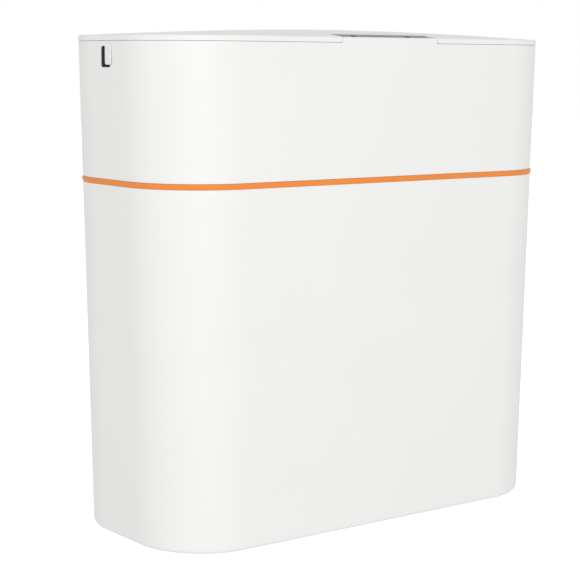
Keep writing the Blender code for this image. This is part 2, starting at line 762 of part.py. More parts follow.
def make_gears():
    bm, hole = gear_mesh(GEAR_TEETH, DRIVE_X, 0.0, SHAFT_R + RUNNING)
    gear = add("shaft_gear", bm, NYLON, (DRIVE_X, 0.0, SHAFT_Z))
    cut(gear, add("gear_bore", hole, None))
    bm, hole = gear_mesh(PINION_TEETH, MOTOR_X, math.pi / PINION_TEETH, MOTOR_SHAFT_R + RUNNING)
    pinion = add("motor_pinion", bm, NYLON, (MOTOR_X, 0.0, SHAFT_Z))
    cut(pinion, add("pinion_bore", hole, None))


def make_motor():
    x = MOTOR_X
    motor = rod("gear_motor", (x, -0.0300, SHAFT_Z), (x, 0.0170, SHAFT_Z), MOTOR_R, STEEL, 28)
    for label, start, end, radius in (
        ("boss", 0.0160, 0.0190, 0.0035),
        ("shaft", 0.0180, 0.0285, MOTOR_SHAFT_R),
        ("cap", -0.0330, -0.0290, 0.0042),
    ):
        bar = rod_mesh((x, start, SHAFT_Z), (x, end, SHAFT_Z), radius, 16)
        join(motor, add(f"motor_{label}", bar, None))
    inner = MOTOR_R + GAP
    outer = inner + CLAMP_THICK
    foot_z = TRAY_LOW_Z + TRAY_WALL + GAP
    strap = [(x + outer, foot_z)]
    strap += arc((x, SHAFT_Z), outer, 0, 180, 14)
    strap += [(x - outer, foot_z), (x - inner, foot_z)]
    strap += arc((x, SHAFT_Z), inner, 180, 0, 14)
    strap += [(x + inner, foot_z)]
    add("motor_clamp", prism_mesh(strap, "Y", -0.0160, -0.0080), STEEL)


def make_shafts():
    for name, x in (("drive_shaft", DRIVE_X), ("idler_shaft", IDLER_X)):
        start = (x, TRAY_FRONT_Y - 0.0052, SHAFT_Z)
        end = (x, TRAY_BACK_Y + 0.0052, SHAFT_Z)
        rod(name, start, end, SHAFT_R, STEEL, 20, (x, 0.0, SHAFT_Z))


def plate_pin_x(top_x):
    drop = SHAFT_Z - PLATE_PIN_Z
    return top_x + math.sqrt(LINK_LENGTH**2 - drop**2)


def make_links():
    for label, x in (("drive", DRIVE_X), ("idler", IDLER_X)):
        tip_x = plate_pin_x(x)
        slope = math.degrees(math.atan2(PLATE_PIN_Z - SHAFT_Z, tip_x - x))
        tip_half = LINK_HALF_HEIGHT - 0.0008
        front_y = TRAY_FRONT_Y - 0.0008 - LINK_THICK
        back_y = TRAY_BACK_Y + 0.0008
        for side, y in (("front", front_y), ("back", back_y)):
            points = list(arc((x, SHAFT_Z), LINK_HALF_HEIGHT, slope + 90, slope + 270, 10))
            points += arc((tip_x, PLATE_PIN_Z), tip_half, slope - 90, slope + 90, 10)
            bar = prism_mesh(points, "Y", y, y + LINK_THICK)
            link = add(f"{label}_link_{side}", bar, STEEL, (x, y, SHAFT_Z))
            for place, bore_x, bore_z, radius in (
                ("top", x, SHAFT_Z, SHAFT_R),
                ("tip", tip_x, PLATE_PIN_Z, PIN_R),
            ):
                start, end = (bore_x, y - 0.01, bore_z), (bore_x, y + 0.01, bore_z)
                hole = rod_mesh(start, end, radius + RUNNING, 20)
                cut(link, add(f"{label}_{side}_{place}_hole", hole, None))


def make_plate():
    centre = ((PLATE_LEFT_X + PLATE_RIGHT_X) / 2, (PLATE_FRONT_Y + PLATE_BACK_Y) / 2)
    half_x = (PLATE_RIGHT_X - PLATE_LEFT_X) / 2
    half_y = (PLATE_BACK_Y - PLATE_FRONT_Y) / 2

    def ring(inset, z):
        points = rounded(half_x - inset, half_y - inset, PLATE_CORNER - inset, 6, centre)
        return [(x, y, z) for x, y in points]

    rows = [
        ring(0.0030, PLATE_LOW_Z),
        ring(0.0008, PLATE_LOW_Z + 0.0008),
        ring(0.0, PLATE_LOW_Z + 0.0026),
        ring(0.0, PLATE_HIGH_Z + 0.0020),
        ring(0.0018, PLATE_HIGH_Z + 0.0020),
        ring(0.0018, PLATE_HIGH_Z),
    ]
    plate = add("press_plate", loft(rows, closed=False), PRESS, (centre[0], centre[1], PLATE_HIGH_Z))
    for label, top_x in (("left", DRIVE_X), ("right", IDLER_X)):
        x = plate_pin_x(top_x)
        for side, low_y, pin_low, pin_high in (
            ("front", PLATE_FRONT_Y + 0.0004, TRAY_FRONT_Y - 0.0048, PLATE_FRONT_Y + 0.0072),
            ("back", PLATE_BACK_Y - 0.0044, PLATE_BACK_Y - 0.0072, TRAY_BACK_Y + 0.0048),
        ):
            profile = [(x - 0.0060, PLATE_HIGH_Z - 0.0010)]
            profile += list(arc((x, PLATE_PIN_Z), 0.0038, 180, 0, 10))
            profile += [(x + 0.0060, PLATE_HIGH_Z - 0.0010)]
            lug = prism_mesh(profile, "Y", low_y, low_y + 0.0040)
            join(plate, add(f"plate_lug_{label}_{side}", lug, None))
            start, end = (x, low_y - 0.003, PLATE_PIN_Z), (x, low_y + 0.007, PLATE_PIN_Z)
            hole = rod_mesh(start, end, PIN_R + RUNNING, 16)
            cut(plate, add(f"plate_hole_{label}_{side}", hole, None))
            start, end = (x, pin_low, PLATE_PIN_Z), (x, pin_high, PLATE_PIN_Z)
            name = f"plate_pin_{side}_{label}"
            rod(name, start, end, PIN_R, STEEL, 16, (x, 0.0, PLATE_PIN_Z))


def make_electrics():
    floor = TRAY_LOW_Z + TRAY_WALL + GAP
    cradle = box(
        "cell_cradle",
        (CELL_LEFT_X - 0.0030, CELL_Y["front"] - 0.0110, floor),
        (CELL_RIGHT_X + 0.0030, CELL_Y["back"] + 0.0110, floor + CRADLE_HIGH),
        DARK,
    )
    for label, y in CELL_Y.items():
        start, end = (CELL_LEFT_X, y, CELL_Z), (CELL_RIGHT_X, y, CELL_Z)
        cell = rod(f"battery_cell_{label}", start, end, CELL_R, CELL, 24)
        bevel(cell, 0.0006, 1)
        start, end = (CELL_LEFT_X - 0.0004, y, CELL_Z), (CELL_RIGHT_X + 0.0004, y, CELL_Z)
        groove = rod_mesh(start, end, CELL_R + GAP, 24)
        cut(cradle, add(f"cradle_groove_{label}", groove, None))
    box("control_board", BOARD_LOW, BOARD_HIGH, BOARD)
    index = 0
    for y in (BOARD_LOW[1] + STAND_INSET, BOARD_HIGH[1] - STAND_INSET):
        for x in (BOARD_LOW[0] + STAND_INSET, BOARD_HIGH[0] - STAND_INSET):
            index += 1
            start, end = (x, y, floor), (x, y, BOARD_LOW[2] - GAP)
            rod(f"board_stand_{index}", start, end, STAND_R, NYLON, 12)


make_lower_bin()
make_feet()
make_bag_ring()
make_upper_housing()
make_switch()
make_latch()
make_button()
make_spring()
make_lid()
make_hinge_pins()
make_striker()
make_tray()
make_gears()
make_motor()
make_shafts()
make_links()
make_plate()
make_electrics()
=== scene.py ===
"""Looks for the slim household trash compactor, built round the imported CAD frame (metres, +Z up)."""

import json
import math
import random

import bmesh
import bpy
from mathutils import Matrix, Vector


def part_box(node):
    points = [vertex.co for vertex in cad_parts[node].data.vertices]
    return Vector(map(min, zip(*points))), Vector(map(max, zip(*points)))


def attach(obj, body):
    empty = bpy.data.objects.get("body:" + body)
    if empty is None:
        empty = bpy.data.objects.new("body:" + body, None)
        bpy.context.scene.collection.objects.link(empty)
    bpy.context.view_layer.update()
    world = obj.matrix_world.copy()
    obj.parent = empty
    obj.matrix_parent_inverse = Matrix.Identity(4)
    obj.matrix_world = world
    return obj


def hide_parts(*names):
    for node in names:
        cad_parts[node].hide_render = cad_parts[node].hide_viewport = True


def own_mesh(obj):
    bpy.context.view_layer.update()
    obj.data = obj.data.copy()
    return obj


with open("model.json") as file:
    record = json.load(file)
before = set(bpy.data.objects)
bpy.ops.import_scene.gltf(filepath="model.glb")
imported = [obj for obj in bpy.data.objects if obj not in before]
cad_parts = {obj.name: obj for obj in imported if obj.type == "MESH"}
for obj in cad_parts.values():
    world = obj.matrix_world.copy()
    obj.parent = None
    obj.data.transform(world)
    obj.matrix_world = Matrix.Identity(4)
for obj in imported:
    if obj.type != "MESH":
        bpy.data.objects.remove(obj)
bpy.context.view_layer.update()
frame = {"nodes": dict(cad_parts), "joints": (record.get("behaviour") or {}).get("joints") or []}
random.seed(7)


def low(node):
    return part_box(node)[0]


def high(node):
    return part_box(node)[1]


def middle(node):
    return (low(node) + high(node)) / 2


def joint(name):
    return next(item for item in frame["joints"] if item["name"] == name)


def half_size(node, z):
    """Half the length and half the depth of a CAD shell's outside at a height."""
    points = [v.co for v in frame["nodes"][node].data.vertices if abs(v.co.z - z) < 0.0005]
    return max(abs(p.x) for p in points), max(abs(p.y) for p in points)


# ---- sizes, from the frame
GAP = 0.0003
PLAY = 0.00008
WALL = 0.0022
FLOOR_Z = low("lower_bin").z
FLOOR_TOP_Z = FLOOR_Z + 0.0026
BIN_RIM_Z = high("lower_bin").z
RING_LOW_Z = BIN_RIM_Z + GAP
RING_HIGH_Z = high("bag_ring").z
SKIRT_Z = low("bag_ring").z
HOUSING_LOW_Z = RING_HIGH_Z + GAP
SPIGOT_Z = low("upper_housing").z
SPIGOT_INSET = 0.006
SEAM_Z = 0.32
HOUSING_RIM_Z = SEAM_Z - 0.00012
HINGE = Vector(joint("lid_hinge")["pos_m"])
HINGE_X = middle("hinge_pin_right").x
HINGE_PIN_R = (high("hinge_pin_right").z - low("hinge_pin_right").z) / 2
KNUCKLE_R = 0.0027
KNUCKLE_HALF = 0.01

LEVEL_LOW = FLOOR_Z + 0.0032
LEVEL_TOP = HOUSING_RIM_Z - 0.0011
LOW_HALF = half_size("lower_bin", LEVEL_LOW)
TOP_HALF = half_size("upper_housing", LEVEL_TOP)
CORNER_LOW = 0.0488
CORNER_TOP = 0.0522
CORNER_STEPS = 26

LID_EDGE_Z = 0.3235
LID_CROWN = high("lid").z - LID_EDGE_Z
CROWN_POWER = 1.7
LID_OVERHANG = 0.0002
LID_WALL = 0.002
LID_HALF_X = 0.1658
LID_HALF_Y = 0.0718

BUTTON_LOW, BUTTON_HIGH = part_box("open_button")
NOTCH_X = (BUTTON_LOW.x + BUTTON_HIGH.x) / 2
NOTCH_BACK = BUTTON_HIGH.y + 0.0004
NOTCH_FLARE = 0.0012
TAB_LEFT = BUTTON_LOW.x - 0.0006
TAB_RIGHT = BUTTON_HIGH.x + 0.0006
TAB_TOP_Z = 0.3234
TAB_ROUND = 0.0009
LATCH_PIN = middle("latch_pin")

SLOT_Y = 0.0008
SLOT_HALF_Y = 0.0052
SLOT_CORNER = 0.0016
SLOT_LOW_Z = 0.3036
SLOT_HIGH_Z = 0.3166

TRAY_LOW, TRAY_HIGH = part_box("drive_tray")
SHAFT_Z = joint("press_drive")["pos_m"][2]
DRIVE_X = joint("press_drive")["pos_m"][0]
IDLER_X = joint("press_idler")["pos_m"][0]
PINION_X = joint("pinion_spin")["pos_m"][0]
SHAFT_R = (high("drive_shaft").x - low("drive_shaft").x) / 2
PIN_R = (high("plate_pin_front_left").x - low("plate_pin_front_left").x) / 2
PLATE_PIN_Z = joint("plate_level")["pos_m"][2]
MOTOR_R = 0.0108
CELL_R = 0.009

LENGTHWAYS = (1, 0, 0)
ACROSS = (0, 1, 0)
UP = (0, 0, 1)
SIDES = ("front", "back")
CORNERS = ("front_left", "front_right", "back_left", "back_right")

# ---- materials


def put(tree, node, **values):
    """Sets a shader node's inputs. A value that is another node's output is linked."""
    for name, value in values.items():
        socket = node.inputs[name.replace("_", " ")]
        if isinstance(value, bpy.types.NodeSocket):
            tree.links.new(value, socket)
        else:
            socket.default_value = value
    return node


def new_node(tree, kind, **values):
    return put(tree, tree.nodes.new("ShaderNode" + kind), **values)


def noise(tree, scale, detail=3.0, stretch=(1.0, 1.0, 1.0)):
    """Noise in the piece's own space, where one unit is a metre."""
    place = new_node(tree, "TexCoord").outputs["Object"]
    mapping = new_node(tree, "Mapping", Scale=stretch, Vector=place)
    made = new_node(tree, "TexNoise", Scale=scale, Detail=detail, Vector=mapping.outputs["Vector"])
    return made.outputs["Fac"]


def ranged(tree, source, low_value, high_value, start=0.3, end=0.7):
    step = new_node(tree, "MapRange", From_Min=start, From_Max=end, To_Min=low_value, To_Max=high_value)
    return put(tree, step, Value=source).outputs["Result"]


def surface(name, colour, rough, *, metal=0.0, tint=0.05, spread=0.05, patch=18.0, grain=700.0,
            stretch=(1.0, 1.0, 1.0), coat=0.0, specular=0.5, bump=0.25):
    """A moulded or metal surface: colour and roughness drift slowly, and a fine grain is raised."""
    material = bpy.data.materials.new(name)
    material.use_nodes = True
    tree = material.node_tree
    mix = tree.nodes.new("ShaderNodeMix")
    mix.data_type = "RGBA"
    darker = [channel * (1.0 - tint) for channel in colour]
    put(tree, mix, A=(*colour, 1.0), B=(*darker, 1.0), Factor=ranged(tree, noise(tree, patch), 0.0, 1.0))
    smudge = ranged(tree, noise(tree, patch * 3.1, 5.0, stretch), rough - spread, rough + spread)
    raised = new_node(tree, "Bump", Strength=bump, Distance=0.00002, Height=noise(tree, grain, 2.0, stretch))
    put(tree, tree.nodes["Principled BSDF"], Metallic=metal, Coat_Weight=coat, Coat_Roughness=0.12,
        Specular_IOR_Level=specular, Base_Color=mix.outputs["Result"], Roughness=smudge,
        Normal=raised.outputs["Normal"])
    return material


WHITE = surface("white_shell", (0.835, 0.835, 0.825), 0.31, tint=0.012, spread=0.035, grain=420.0, coat=0.15)
WHITE_INSIDE = surface("white_inside", (0.8, 0.8, 0.79), 0.42, tint=0.03, grain=900.0, bump=0.4)
ORANGE = surface("orange_ring", (0.87, 0.262, 0.048), 0.42, grain=600.0, specular=0.2)
GREY = surface("grey_button", (0.235, 0.235, 0.232), 0.34, tint=0.06, spread=0.06, grain=1400.0, bump=0.3)
DARK = surface("dark_plastic", (0.022, 0.022, 0.024), 0.45, tint=0.2, grain=1600.0, bump=0.5)
SWITCH = surface("switch_resin", (0.06, 0.06, 0.062), 0.6, tint=0.15, grain=1600.0, bump=0.4)
LENS = surface("smoked_lens", (0.04, 0.041, 0.044), 0.12, tint=0.2, spread=0.03, grain=900.0, coat=0.5,
               bump=0.05)
PRESS = surface("press_plastic", (0.36, 0.37, 0.38), 0.48, tint=0.08, spread=0.08, grain=1500.0, bump=0.5)
STEEL = surface("brushed_steel", (0.56, 0.56, 0.57), 0.34, metal=1.0, tint=0.12, spread=0.08, grain=900.0,
                stretch=(0.06, 1.0, 1.0), bump=0.3)
TURNED = surface("turned_steel", (0.62, 0.62, 0.64), 0.24, metal=1.0, tint=0.1, spread=0.06, grain=1500.0,
                 stretch=(1.0, 0.08, 1.0), bump=0.2)
RUBBER = surface("foot_rubber", (0.028, 0.028, 0.029), 0.78, tint=0.25, grain=1800.0, bump=0.6)
NYLON = surface("nylon", (0.72, 0.7, 0.63), 0.42, grain=1100.0)
WRAP = surface("cell_wrap", (0.05, 0.16, 0.24), 0.28, tint=0.15, grain=300.0, coat=0.3)
BOARD = surface("solder_mask", (0.012, 0.1, 0.045), 0.34, tint=0.25, patch=60.0, grain=1500.0, coat=0.25)
COPPER = surface("copper", (0.8, 0.42, 0.22), 0.3, metal=1.0, tint=0.2, patch=120.0)
CHIP = surface("chip_resin", (0.016, 0.016, 0.017), 0.55, tint=0.2, grain=2500.0, bump=0.5)
CAP_BLUE = surface("cap_sleeve", (0.02, 0.03, 0.09), 0.3, tint=0.1, coat=0.3)

# ---- mesh tools


def mesh_object(name, bm, materials=(), angle=32.0):
    """Turns a bmesh into an object. Edges sharper than the angle stay sharp in the shading."""
    bmesh.ops.recalc_face_normals(bm, faces=bm.faces)
    mesh = bpy.data.meshes.new(name)
    bm.to_mesh(mesh)
    bm.free()
    for item in materials:
        mesh.materials.append(item)
    mesh.shade_smooth()
    mesh.set_sharp_from_angle(angle=math.radians(angle))
    obj = bpy.data.objects.new(name, mesh)
    bpy.context.scene.collection.objects.link(obj)
    return obj


def carve(obj, joined, cut, angle):
    """Joins solids to an object and cuts others from it, for good."""
    helpers = []
    for bm, operation in [(bm, "UNION") for bm in joined] + [(bm, "DIFFERENCE") for bm in cut]:
        step = obj.modifiers.new("carve", "BOOLEAN")
        step.operation = operation
        step.object = mesh_object("helper", bm)
        step.solver = "EXACT"
        helpers.append(step.object)
    graph = bpy.context.evaluated_depsgraph_get()
    mesh = bpy.data.meshes.new_from_object(obj.evaluated_get(graph))
    old = obj.data
    obj.modifiers.clear()
    obj.data = mesh
    bpy.data.meshes.remove(old)
    mesh.shade_smooth()
    mesh.set_sharp_from_angle(angle=math.radians(angle))
    for helper in helpers:
        bpy.data.objects.remove(helper, do_unlink=True)


def soften(obj, width, segments=3, angle=35.0):
    """Rounds an object's sharp edges."""
    step = obj.modifiers.new("edges", "BEVEL")
    step.width = width
    step.segments = segments
    step.limit_method = "ANGLE"
    step.angle_limit = math.radians(angle)
    step.harden_normals = True


def add(name, bm, materials, body, replaces=(), *, joined=(), cut=(), angle=32.0, edges=None, inner=None):
    """Makes a piece that rides a body. inner picks the second material's faces; edges goes to soften()."""
    materials = materials if isinstance(materials, list) else [materials]
    if inner:
        bmesh.ops.recalc_face_normals(bm, faces=bm.faces)
        for face in bm.faces:
            face.material_index = int(inner(face))
    obj = mesh_object(name, bm, materials, angle)
    if joined or cut:
        carve(obj, joined, cut, angle)
    if inner and cut:
        obj.modifiers.new("shading", "WEIGHTED_NORMAL").keep_sharp = True
    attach(obj, body)
    if replaces:
        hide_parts(*replaces)
    if edges:
        soften(obj, *edges)
    return obj


def box(start, end):
    bm = bmesh.new()
    start, end = Vector(start), Vector(end)
    bmesh.ops.create_cube(bm, size=1.0)
    bmesh.ops.scale(bm, verts=bm.verts, vec=end - start)
    bmesh.ops.translate(bm, verts=bm.verts, vec=(start + end) / 2)
    return bm


def turned(centre, axis, profile, segments=32):
    """Revolves (along, radius) points round an axis; both ends close on it."""
    axis = Vector(axis).normalized()
    side = axis.orthogonal().normalized()
    other = axis.cross(side)
    rows = []
    for along, radius in profile:
        row = []
        for i in range(segments):
            angle = 2 * math.pi * i / segments
            out = side * math.cos(angle) + other * math.sin(angle)
            row.append(Vector(centre) + axis * along + out * max(radius, 1e-5))
        rows.append(row)
    return loft(rows, closed=False)


def rod(start, end, radius, segments=32, edge=0.0):
    """A round bar with an optional small radius on both ends."""
    start, end = Vector(start), Vector(end)
    length = (end - start).length
    profile = [(0.0, radius), (length, radius)]
    if edge:
        profile = [(0.0, radius - edge), (edge * 0.3, radius - edge * 0.3), (edge, radius)]
        profile += [(length - along, r) for along, r in reversed(profile)]
    return turned(start, end - start, profile, segments)


def bore_mesh(x, z, radius, start=-0.06, end=0.06, segments=32):
    """A round cutter that runs from front to back."""
    return rod((x, start, z), (x, end, z), radius, segments)


def prism(points, axis, start, end):
    """Extrudes a flat closed outline along X, Y or Z."""
    order = {"X": (2, 0, 1), "Y": (0, 2, 1), "Z": (0, 1, 2)}[axis]
    bm = bmesh.new()
    face = bm.faces.new([bm.verts.new([(u, v, start)[i] for i in order]) for u, v in points])
    made = bmesh.ops.extrude_face_region(bm, geom=[face])["geom"]
    moved = [item for item in made if isinstance(item, bmesh.types.BMVert)]
    bmesh.ops.translate(bm, verts=moved, vec=[(0.0, 0.0, end - start)[i] for i in order])
    return bm


def merge(*parts):
    """Puts several bmeshes in one, as separate closed bodies of the same piece."""
    whole = bmesh.new()
    for part in parts:
        mesh = bpy.data.meshes.new("merge")
        part.to_mesh(mesh)
        part.free()
        whole.from_mesh(mesh)
        bpy.data.meshes.remove(mesh)
    return whole


def paint(bm, index):
    for face in bm.faces:
        face.material_index = index
    return bm


def loft(rows, closed):
    """Skins rows of points that have the same count; closed joins the last row to the first."""
    bm = bmesh.new()
    loops = [[bm.verts.new(point) for point in row] for row in rows]
    count = len(loops[0])
    pairs = list(zip(loops, loops[1:]))
    if closed:
        pairs.append((loops[-1], loops[0]))
    for lower, upper in pairs:
        for i in range(count):
            j = (i + 1) % count
            bm.faces.new((lower[i], lower[j], upper[j], upper[i]))
    if not closed:
        bm.faces.new(loops[0])
        bm.faces.new(loops[-1])
    return bm


def arc(centre, radius, start, end, steps):
    for step in range(steps + 1):
        angle = math.radians(start + (end - start) * step / steps)
        yield centre[0] + radius * math.cos(angle), centre[1] + radius * math.sin(angle)


def between(first, last, runs):
    return [(first[0] + (last[0] - first[0]) * t, first[1] + (last[1] - first[1]) * t) for t in runs]


def rounded(half_x, half_y, corner, steps=CORNER_STEPS, centre=(0.0, 0.0), runs=()):
    """A rounded rectangle. runs are the places along each straight side, from 0 to 1, that get a point."""
    points = []
    for sign_x, sign_y, start in ((1, -1, -90), (1, 1, 0), (-1, 1, 90), (-1, -1, 180)):
        hub = (centre[0] + sign_x * (half_x - corner), centre[1] + sign_y * (half_y - corner))
        turn = list(arc(hub, corner, start, start + 90, steps))
        if points and runs:
            points += between(points[-1], turn[0], runs)
        points += turn
    if runs:
        points += between(points[-1], points[0], runs)
    return points


def rounded_box(node, corner, steps=8):
    """A CAD node's box seen along X, with rounded corners."""
    start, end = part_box(node)
    centre = ((start.y + end.y) / 2, (start.z + end.z) / 2)
    return rounded((end.y - start.y) / 2, (end.z - start.z) / 2, corner, steps, centre)


SUPPORT = (0.012, 0.5, 0.988)


def half_at(z):
    share = (z - LEVEL_LOW) / (LEVEL_TOP - LEVEL_LOW)
    return tuple(low_half + (top_half - low_half) * share for low_half, top_half in zip(LOW_HALF, TOP_HALF))


def corner_at(z):
    return CORNER_LOW + (CORNER_TOP - CORNER_LOW) * (z - LEVEL_LOW) / (LEVEL_TOP - LEVEL_LOW)


def shell_outline(z, inset):
    """The shell's outline at a height, moved inwards by an inset."""
    half_x, half_y = half_at(z)
    return rounded(half_x - inset, half_y - inset, corner_at(z) - inset, runs=SUPPORT)


def shell_mesh(profile, closed):
    return loft([[(x, y, z) for x, y in shell_outline(z, inset)] for z, inset in profile], closed)


def rim_arc(z, inset, radius, start, end, steps=4):
    """Profile points (z, inset) on a small arc; 0 degrees points outwards and 90 up."""
    for across, up in arc((0.0, 0.0), radius, start, end, steps):
        yield z + up, inset - across


# ---- lower bin, ring and feet


def faces_inwards(face):
    """Picks the second material for the faces that look into the shell."""
    centre = face.calc_center_median()
    return face.normal.x * centre.x + face.normal.y * centre.y < -1e-4


def make_bin():
    panel_inset, heel, cove = 0.0365, 0.0034, 0.0052
    panel_z = FLOOR_Z + 0.0007
    profile = [
        (panel_z + 0.0002, panel_inset + 0.0014), (panel_z, panel_inset + 0.0004),
        (FLOOR_Z, panel_inset - 0.0006), (FLOOR_Z, 0.0052),
        *rim_arc(FLOOR_Z + heel, heel, heel, -84, -6, 8),
        (FLOOR_Z + 0.0045, 0.0), (FLOOR_Z + 0.01, 0.0), (BIN_RIM_Z - 0.003, 0.0),
        *rim_arc(BIN_RIM_Z - 0.0003, 0.0003, 0.0003, 10, 80),
        *rim_arc(BIN_RIM_Z - 0.0005, WALL - 0.0005, 0.0005, 100, 170),
        (BIN_RIM_Z - 0.003, WALL), (FLOOR_Z + 0.01, WALL),
    ]
    for step in range(1, 8):
        turn = math.radians(90 - step * 11.25)
        profile.append((FLOOR_TOP_Z + cove * (1 - math.cos(turn)), WALL + cove * (1 - math.sin(turn))))
    profile.append((FLOOR_TOP_Z, WALL + 0.006))
    body = shell_mesh(profile, closed=False)
    bmesh.ops.recalc_face_normals(body, faces=body.faces)
    for face in body.faces:
        up = face.normal.z > 0.5 and face.calc_center_median().z < FLOOR_Z + 0.02
        face.material_index = 1 if up else faces_inwards(face)
    bar_half, bar_low, bar_high = 0.0007, FLOOR_Z + 0.0002, FLOOR_Z + 0.0012
    bars = []
    for x in (-0.09, -0.06, -0.03, 0.0, 0.03, 0.06, 0.09):
        bars.append(box((x - bar_half, -0.0312, bar_low), (x + bar_half, 0.0312, bar_high)))
    bars.append(box((-0.112, -bar_half, bar_low), (0.112, bar_half, bar_high)))
    gate = [(0.0, 0.0024), (0.0003, 0.0028), (0.0012, 0.0028)]
    bars.append(turned((0.0, 0.0, FLOOR_Z + 0.0001), UP, gate))
    add("bin_shell", merge(body, *bars), [WHITE, WHITE_INSIDE], "bin", ["lower_bin"], angle=50)


def make_ring():
    """The ring's round band closes most of the gaps above and below it."""
    centre = (RING_LOW_Z + RING_HIGH_Z) / 2
    half = (RING_HIGH_Z - RING_LOW_Z) / 2 + 0.0003
    edge = 0.0006
    profile = [(RING_LOW_Z, 0.0009)]
    for angle in range(-75, 76, 15):
        turn = math.radians(angle)
        profile.append((centre + half * math.sin(turn), 0.0004 - 0.0009 * math.cos(turn)))
    profile += [(RING_HIGH_Z, 0.0009), (RING_HIGH_Z, 0.004)]
    profile += rim_arc(SKIRT_Z + edge, 0.0036, edge, 180, 270)
    profile += rim_arc(SKIRT_Z + edge, WALL + GAP + edge, edge, 270, 350)
    profile += [(RING_LOW_Z, WALL + GAP)]
    add("ring_band", shell_mesh(profile, closed=True), ORANGE, "ring", ["bag_ring"], angle=48)


def make_feet():
    profile = [
        (0.0005, 0.0), (0.0005, 0.0034), (0.0, 0.004), (0.0, 0.0058), (0.0004, 0.0061), (0.0004, 0.0067),
        (0.0, 0.007), (0.0, 0.0082), (0.0003, 0.0087), (0.0008, 0.009), (0.0013, 0.009), (0.0017, 0.0087),
        (0.0017, 0.0),
    ]
    for place in CORNERS:
        centre = middle("foot_" + place)
        pad = turned((centre.x, centre.y, 0.0), UP, profile, 48)
        add("pad_" + place, pad, RUBBER, "bin", ["foot_" + place], angle=40)


# ---- upper housing


def tab_lift(x):
    """How far the housing's rim rises at a place along the front, to make the tab in the lid's notch."""
    rise = TAB_TOP_Z - HOUSING_RIM_Z
    inside = min(x - TAB_LEFT, TAB_RIGHT - x)
    if inside < 0:
        return 0.0
    if inside >= TAB_ROUND:
        return rise
    return rise - TAB_ROUND + math.sqrt(TAB_ROUND**2 - (TAB_ROUND - inside) ** 2)


def tab_places():
    """Places along the front: close together where the tab's sides rise."""
    side = [-0.003, -0.0004, -0.00002, 0.0]
    side += [TAB_ROUND * (1 - math.cos(math.radians(angle))) for angle in (20, 40, 60, 75, 90)]
    side += [0.004]
    return [TAB_LEFT + step for step in side] + [NOTCH_X] + [TAB_RIGHT - step for step in reversed(side)]


def housing_row(z, inset, lifted):
    points = shell_outline(z, inset)[: -len(SUPPORT)]
    half_x = half_at(z)[0] - corner_at(z)
    front = -(half_at(z)[1] - inset)
    row = [(x, y, z) for x, y in points]
    places = [-half_x * 0.976, *tab_places(), half_x * 0.976]
    return row + [(x, front, z + lifted * tab_lift(x)) for x in places]


def hinge_outline(towards_front):
    """The lid's knuckle or the housing's lug round the hinge axis, in Y and Z."""
    y, z = HINGE.y, HINGE.z
    if towards_front:
        return [*arc((y, z), KNUCKLE_R, -90, 90, 20), (y - 0.006, z + 0.0016), (y - 0.006, z - 0.0014)]
    foot = HOUSING_RIM_Z - 0.0045
    return [*arc((y, z), KNUCKLE_R, -30, 210, 28), (y - 0.0014, foot), (y + 0.0004, foot)]


def slot_outline(grow):
    centre = (SLOT_Y, (SLOT_LOW_Z + SLOT_HIGH_Z) / 2)
    return rounded(SLOT_HALF_Y + grow, (SLOT_HIGH_Z - SLOT_LOW_Z) / 2 + grow, SLOT_CORNER + grow, 12, centre)


def slot_mesh():
    """The switch slot's cutter: a rounded slot whose outer edge flares softly."""
    wall = -TOP_HALF[0]
    flare = ((-0.003, 0.0006), (0.0, 0.00045), (0.0001, 0.00022), (0.0003, 0.00006), (0.0006, 0.0),
             (0.01, 0.0))
    rows = [[(wall + depth, y, z) for y, z in slot_outline(grow)] for depth, grow in flare]
    return loft(rows, closed=False)


def make_housing():
    """The shell: outside, rim, inside and the spigot that stands in the ring, as height, inset and tab."""
    rim, foot, end, spigot = HOUSING_RIM_Z, HOUSING_LOW_Z, SPIGOT_Z, SPIGOT_INSET
    profile = [
        (foot, 0.0005, 0), (foot + 0.00005, 0.0002, 0), (foot + 0.0002, 0.00004, 0), (foot + 0.0005, 0.0, 0),
        (foot + 0.003, 0.0, 0), (rim - 0.006, 0.0, 0), (rim - 0.0026, 0.0, 0), (rim - 0.0016, 0.0, 1),
        (rim - 0.0014, 0.00001, 1), (rim - 0.0012, 0.00003, 1), (rim - 0.00035, 0.00008, 1),
        (rim - 0.0001, 0.00018, 1), (rim, 0.0004, 1), (rim, WALL - 0.0006, 1),
        (rim - 0.0002, WALL - 0.0002, 1), (rim - 0.0006, WALL, 1), (rim - 0.0015, WALL, 1),
        (rim - 0.0024, WALL, 0), (rim - 0.006, WALL, 0),
        (foot + 0.0044, WALL, 0), (foot + 0.0036, WALL + 0.0003, 0), (foot + 0.0027, spigot - 0.0006, 0),
        (foot + 0.002, spigot, 0), (end + 0.0005, spigot, 0), (end + 0.0001, spigot - 0.0002, 0),
        (end, spigot - 0.0006, 0), (end, spigot - 0.0011, 0), (end + 0.0003, spigot - 0.0015, 0),
        (foot - 0.0004, spigot - 0.0015, 0), (foot, spigot - 0.0018, 0),
    ]
    bm = loft([housing_row(*row) for row in profile], closed=True)
    add("housing_shell", bm, [WHITE, WHITE_INSIDE], "head", ["upper_housing"], cut=[slot_mesh()], angle=40,
        inner=faces_inwards)


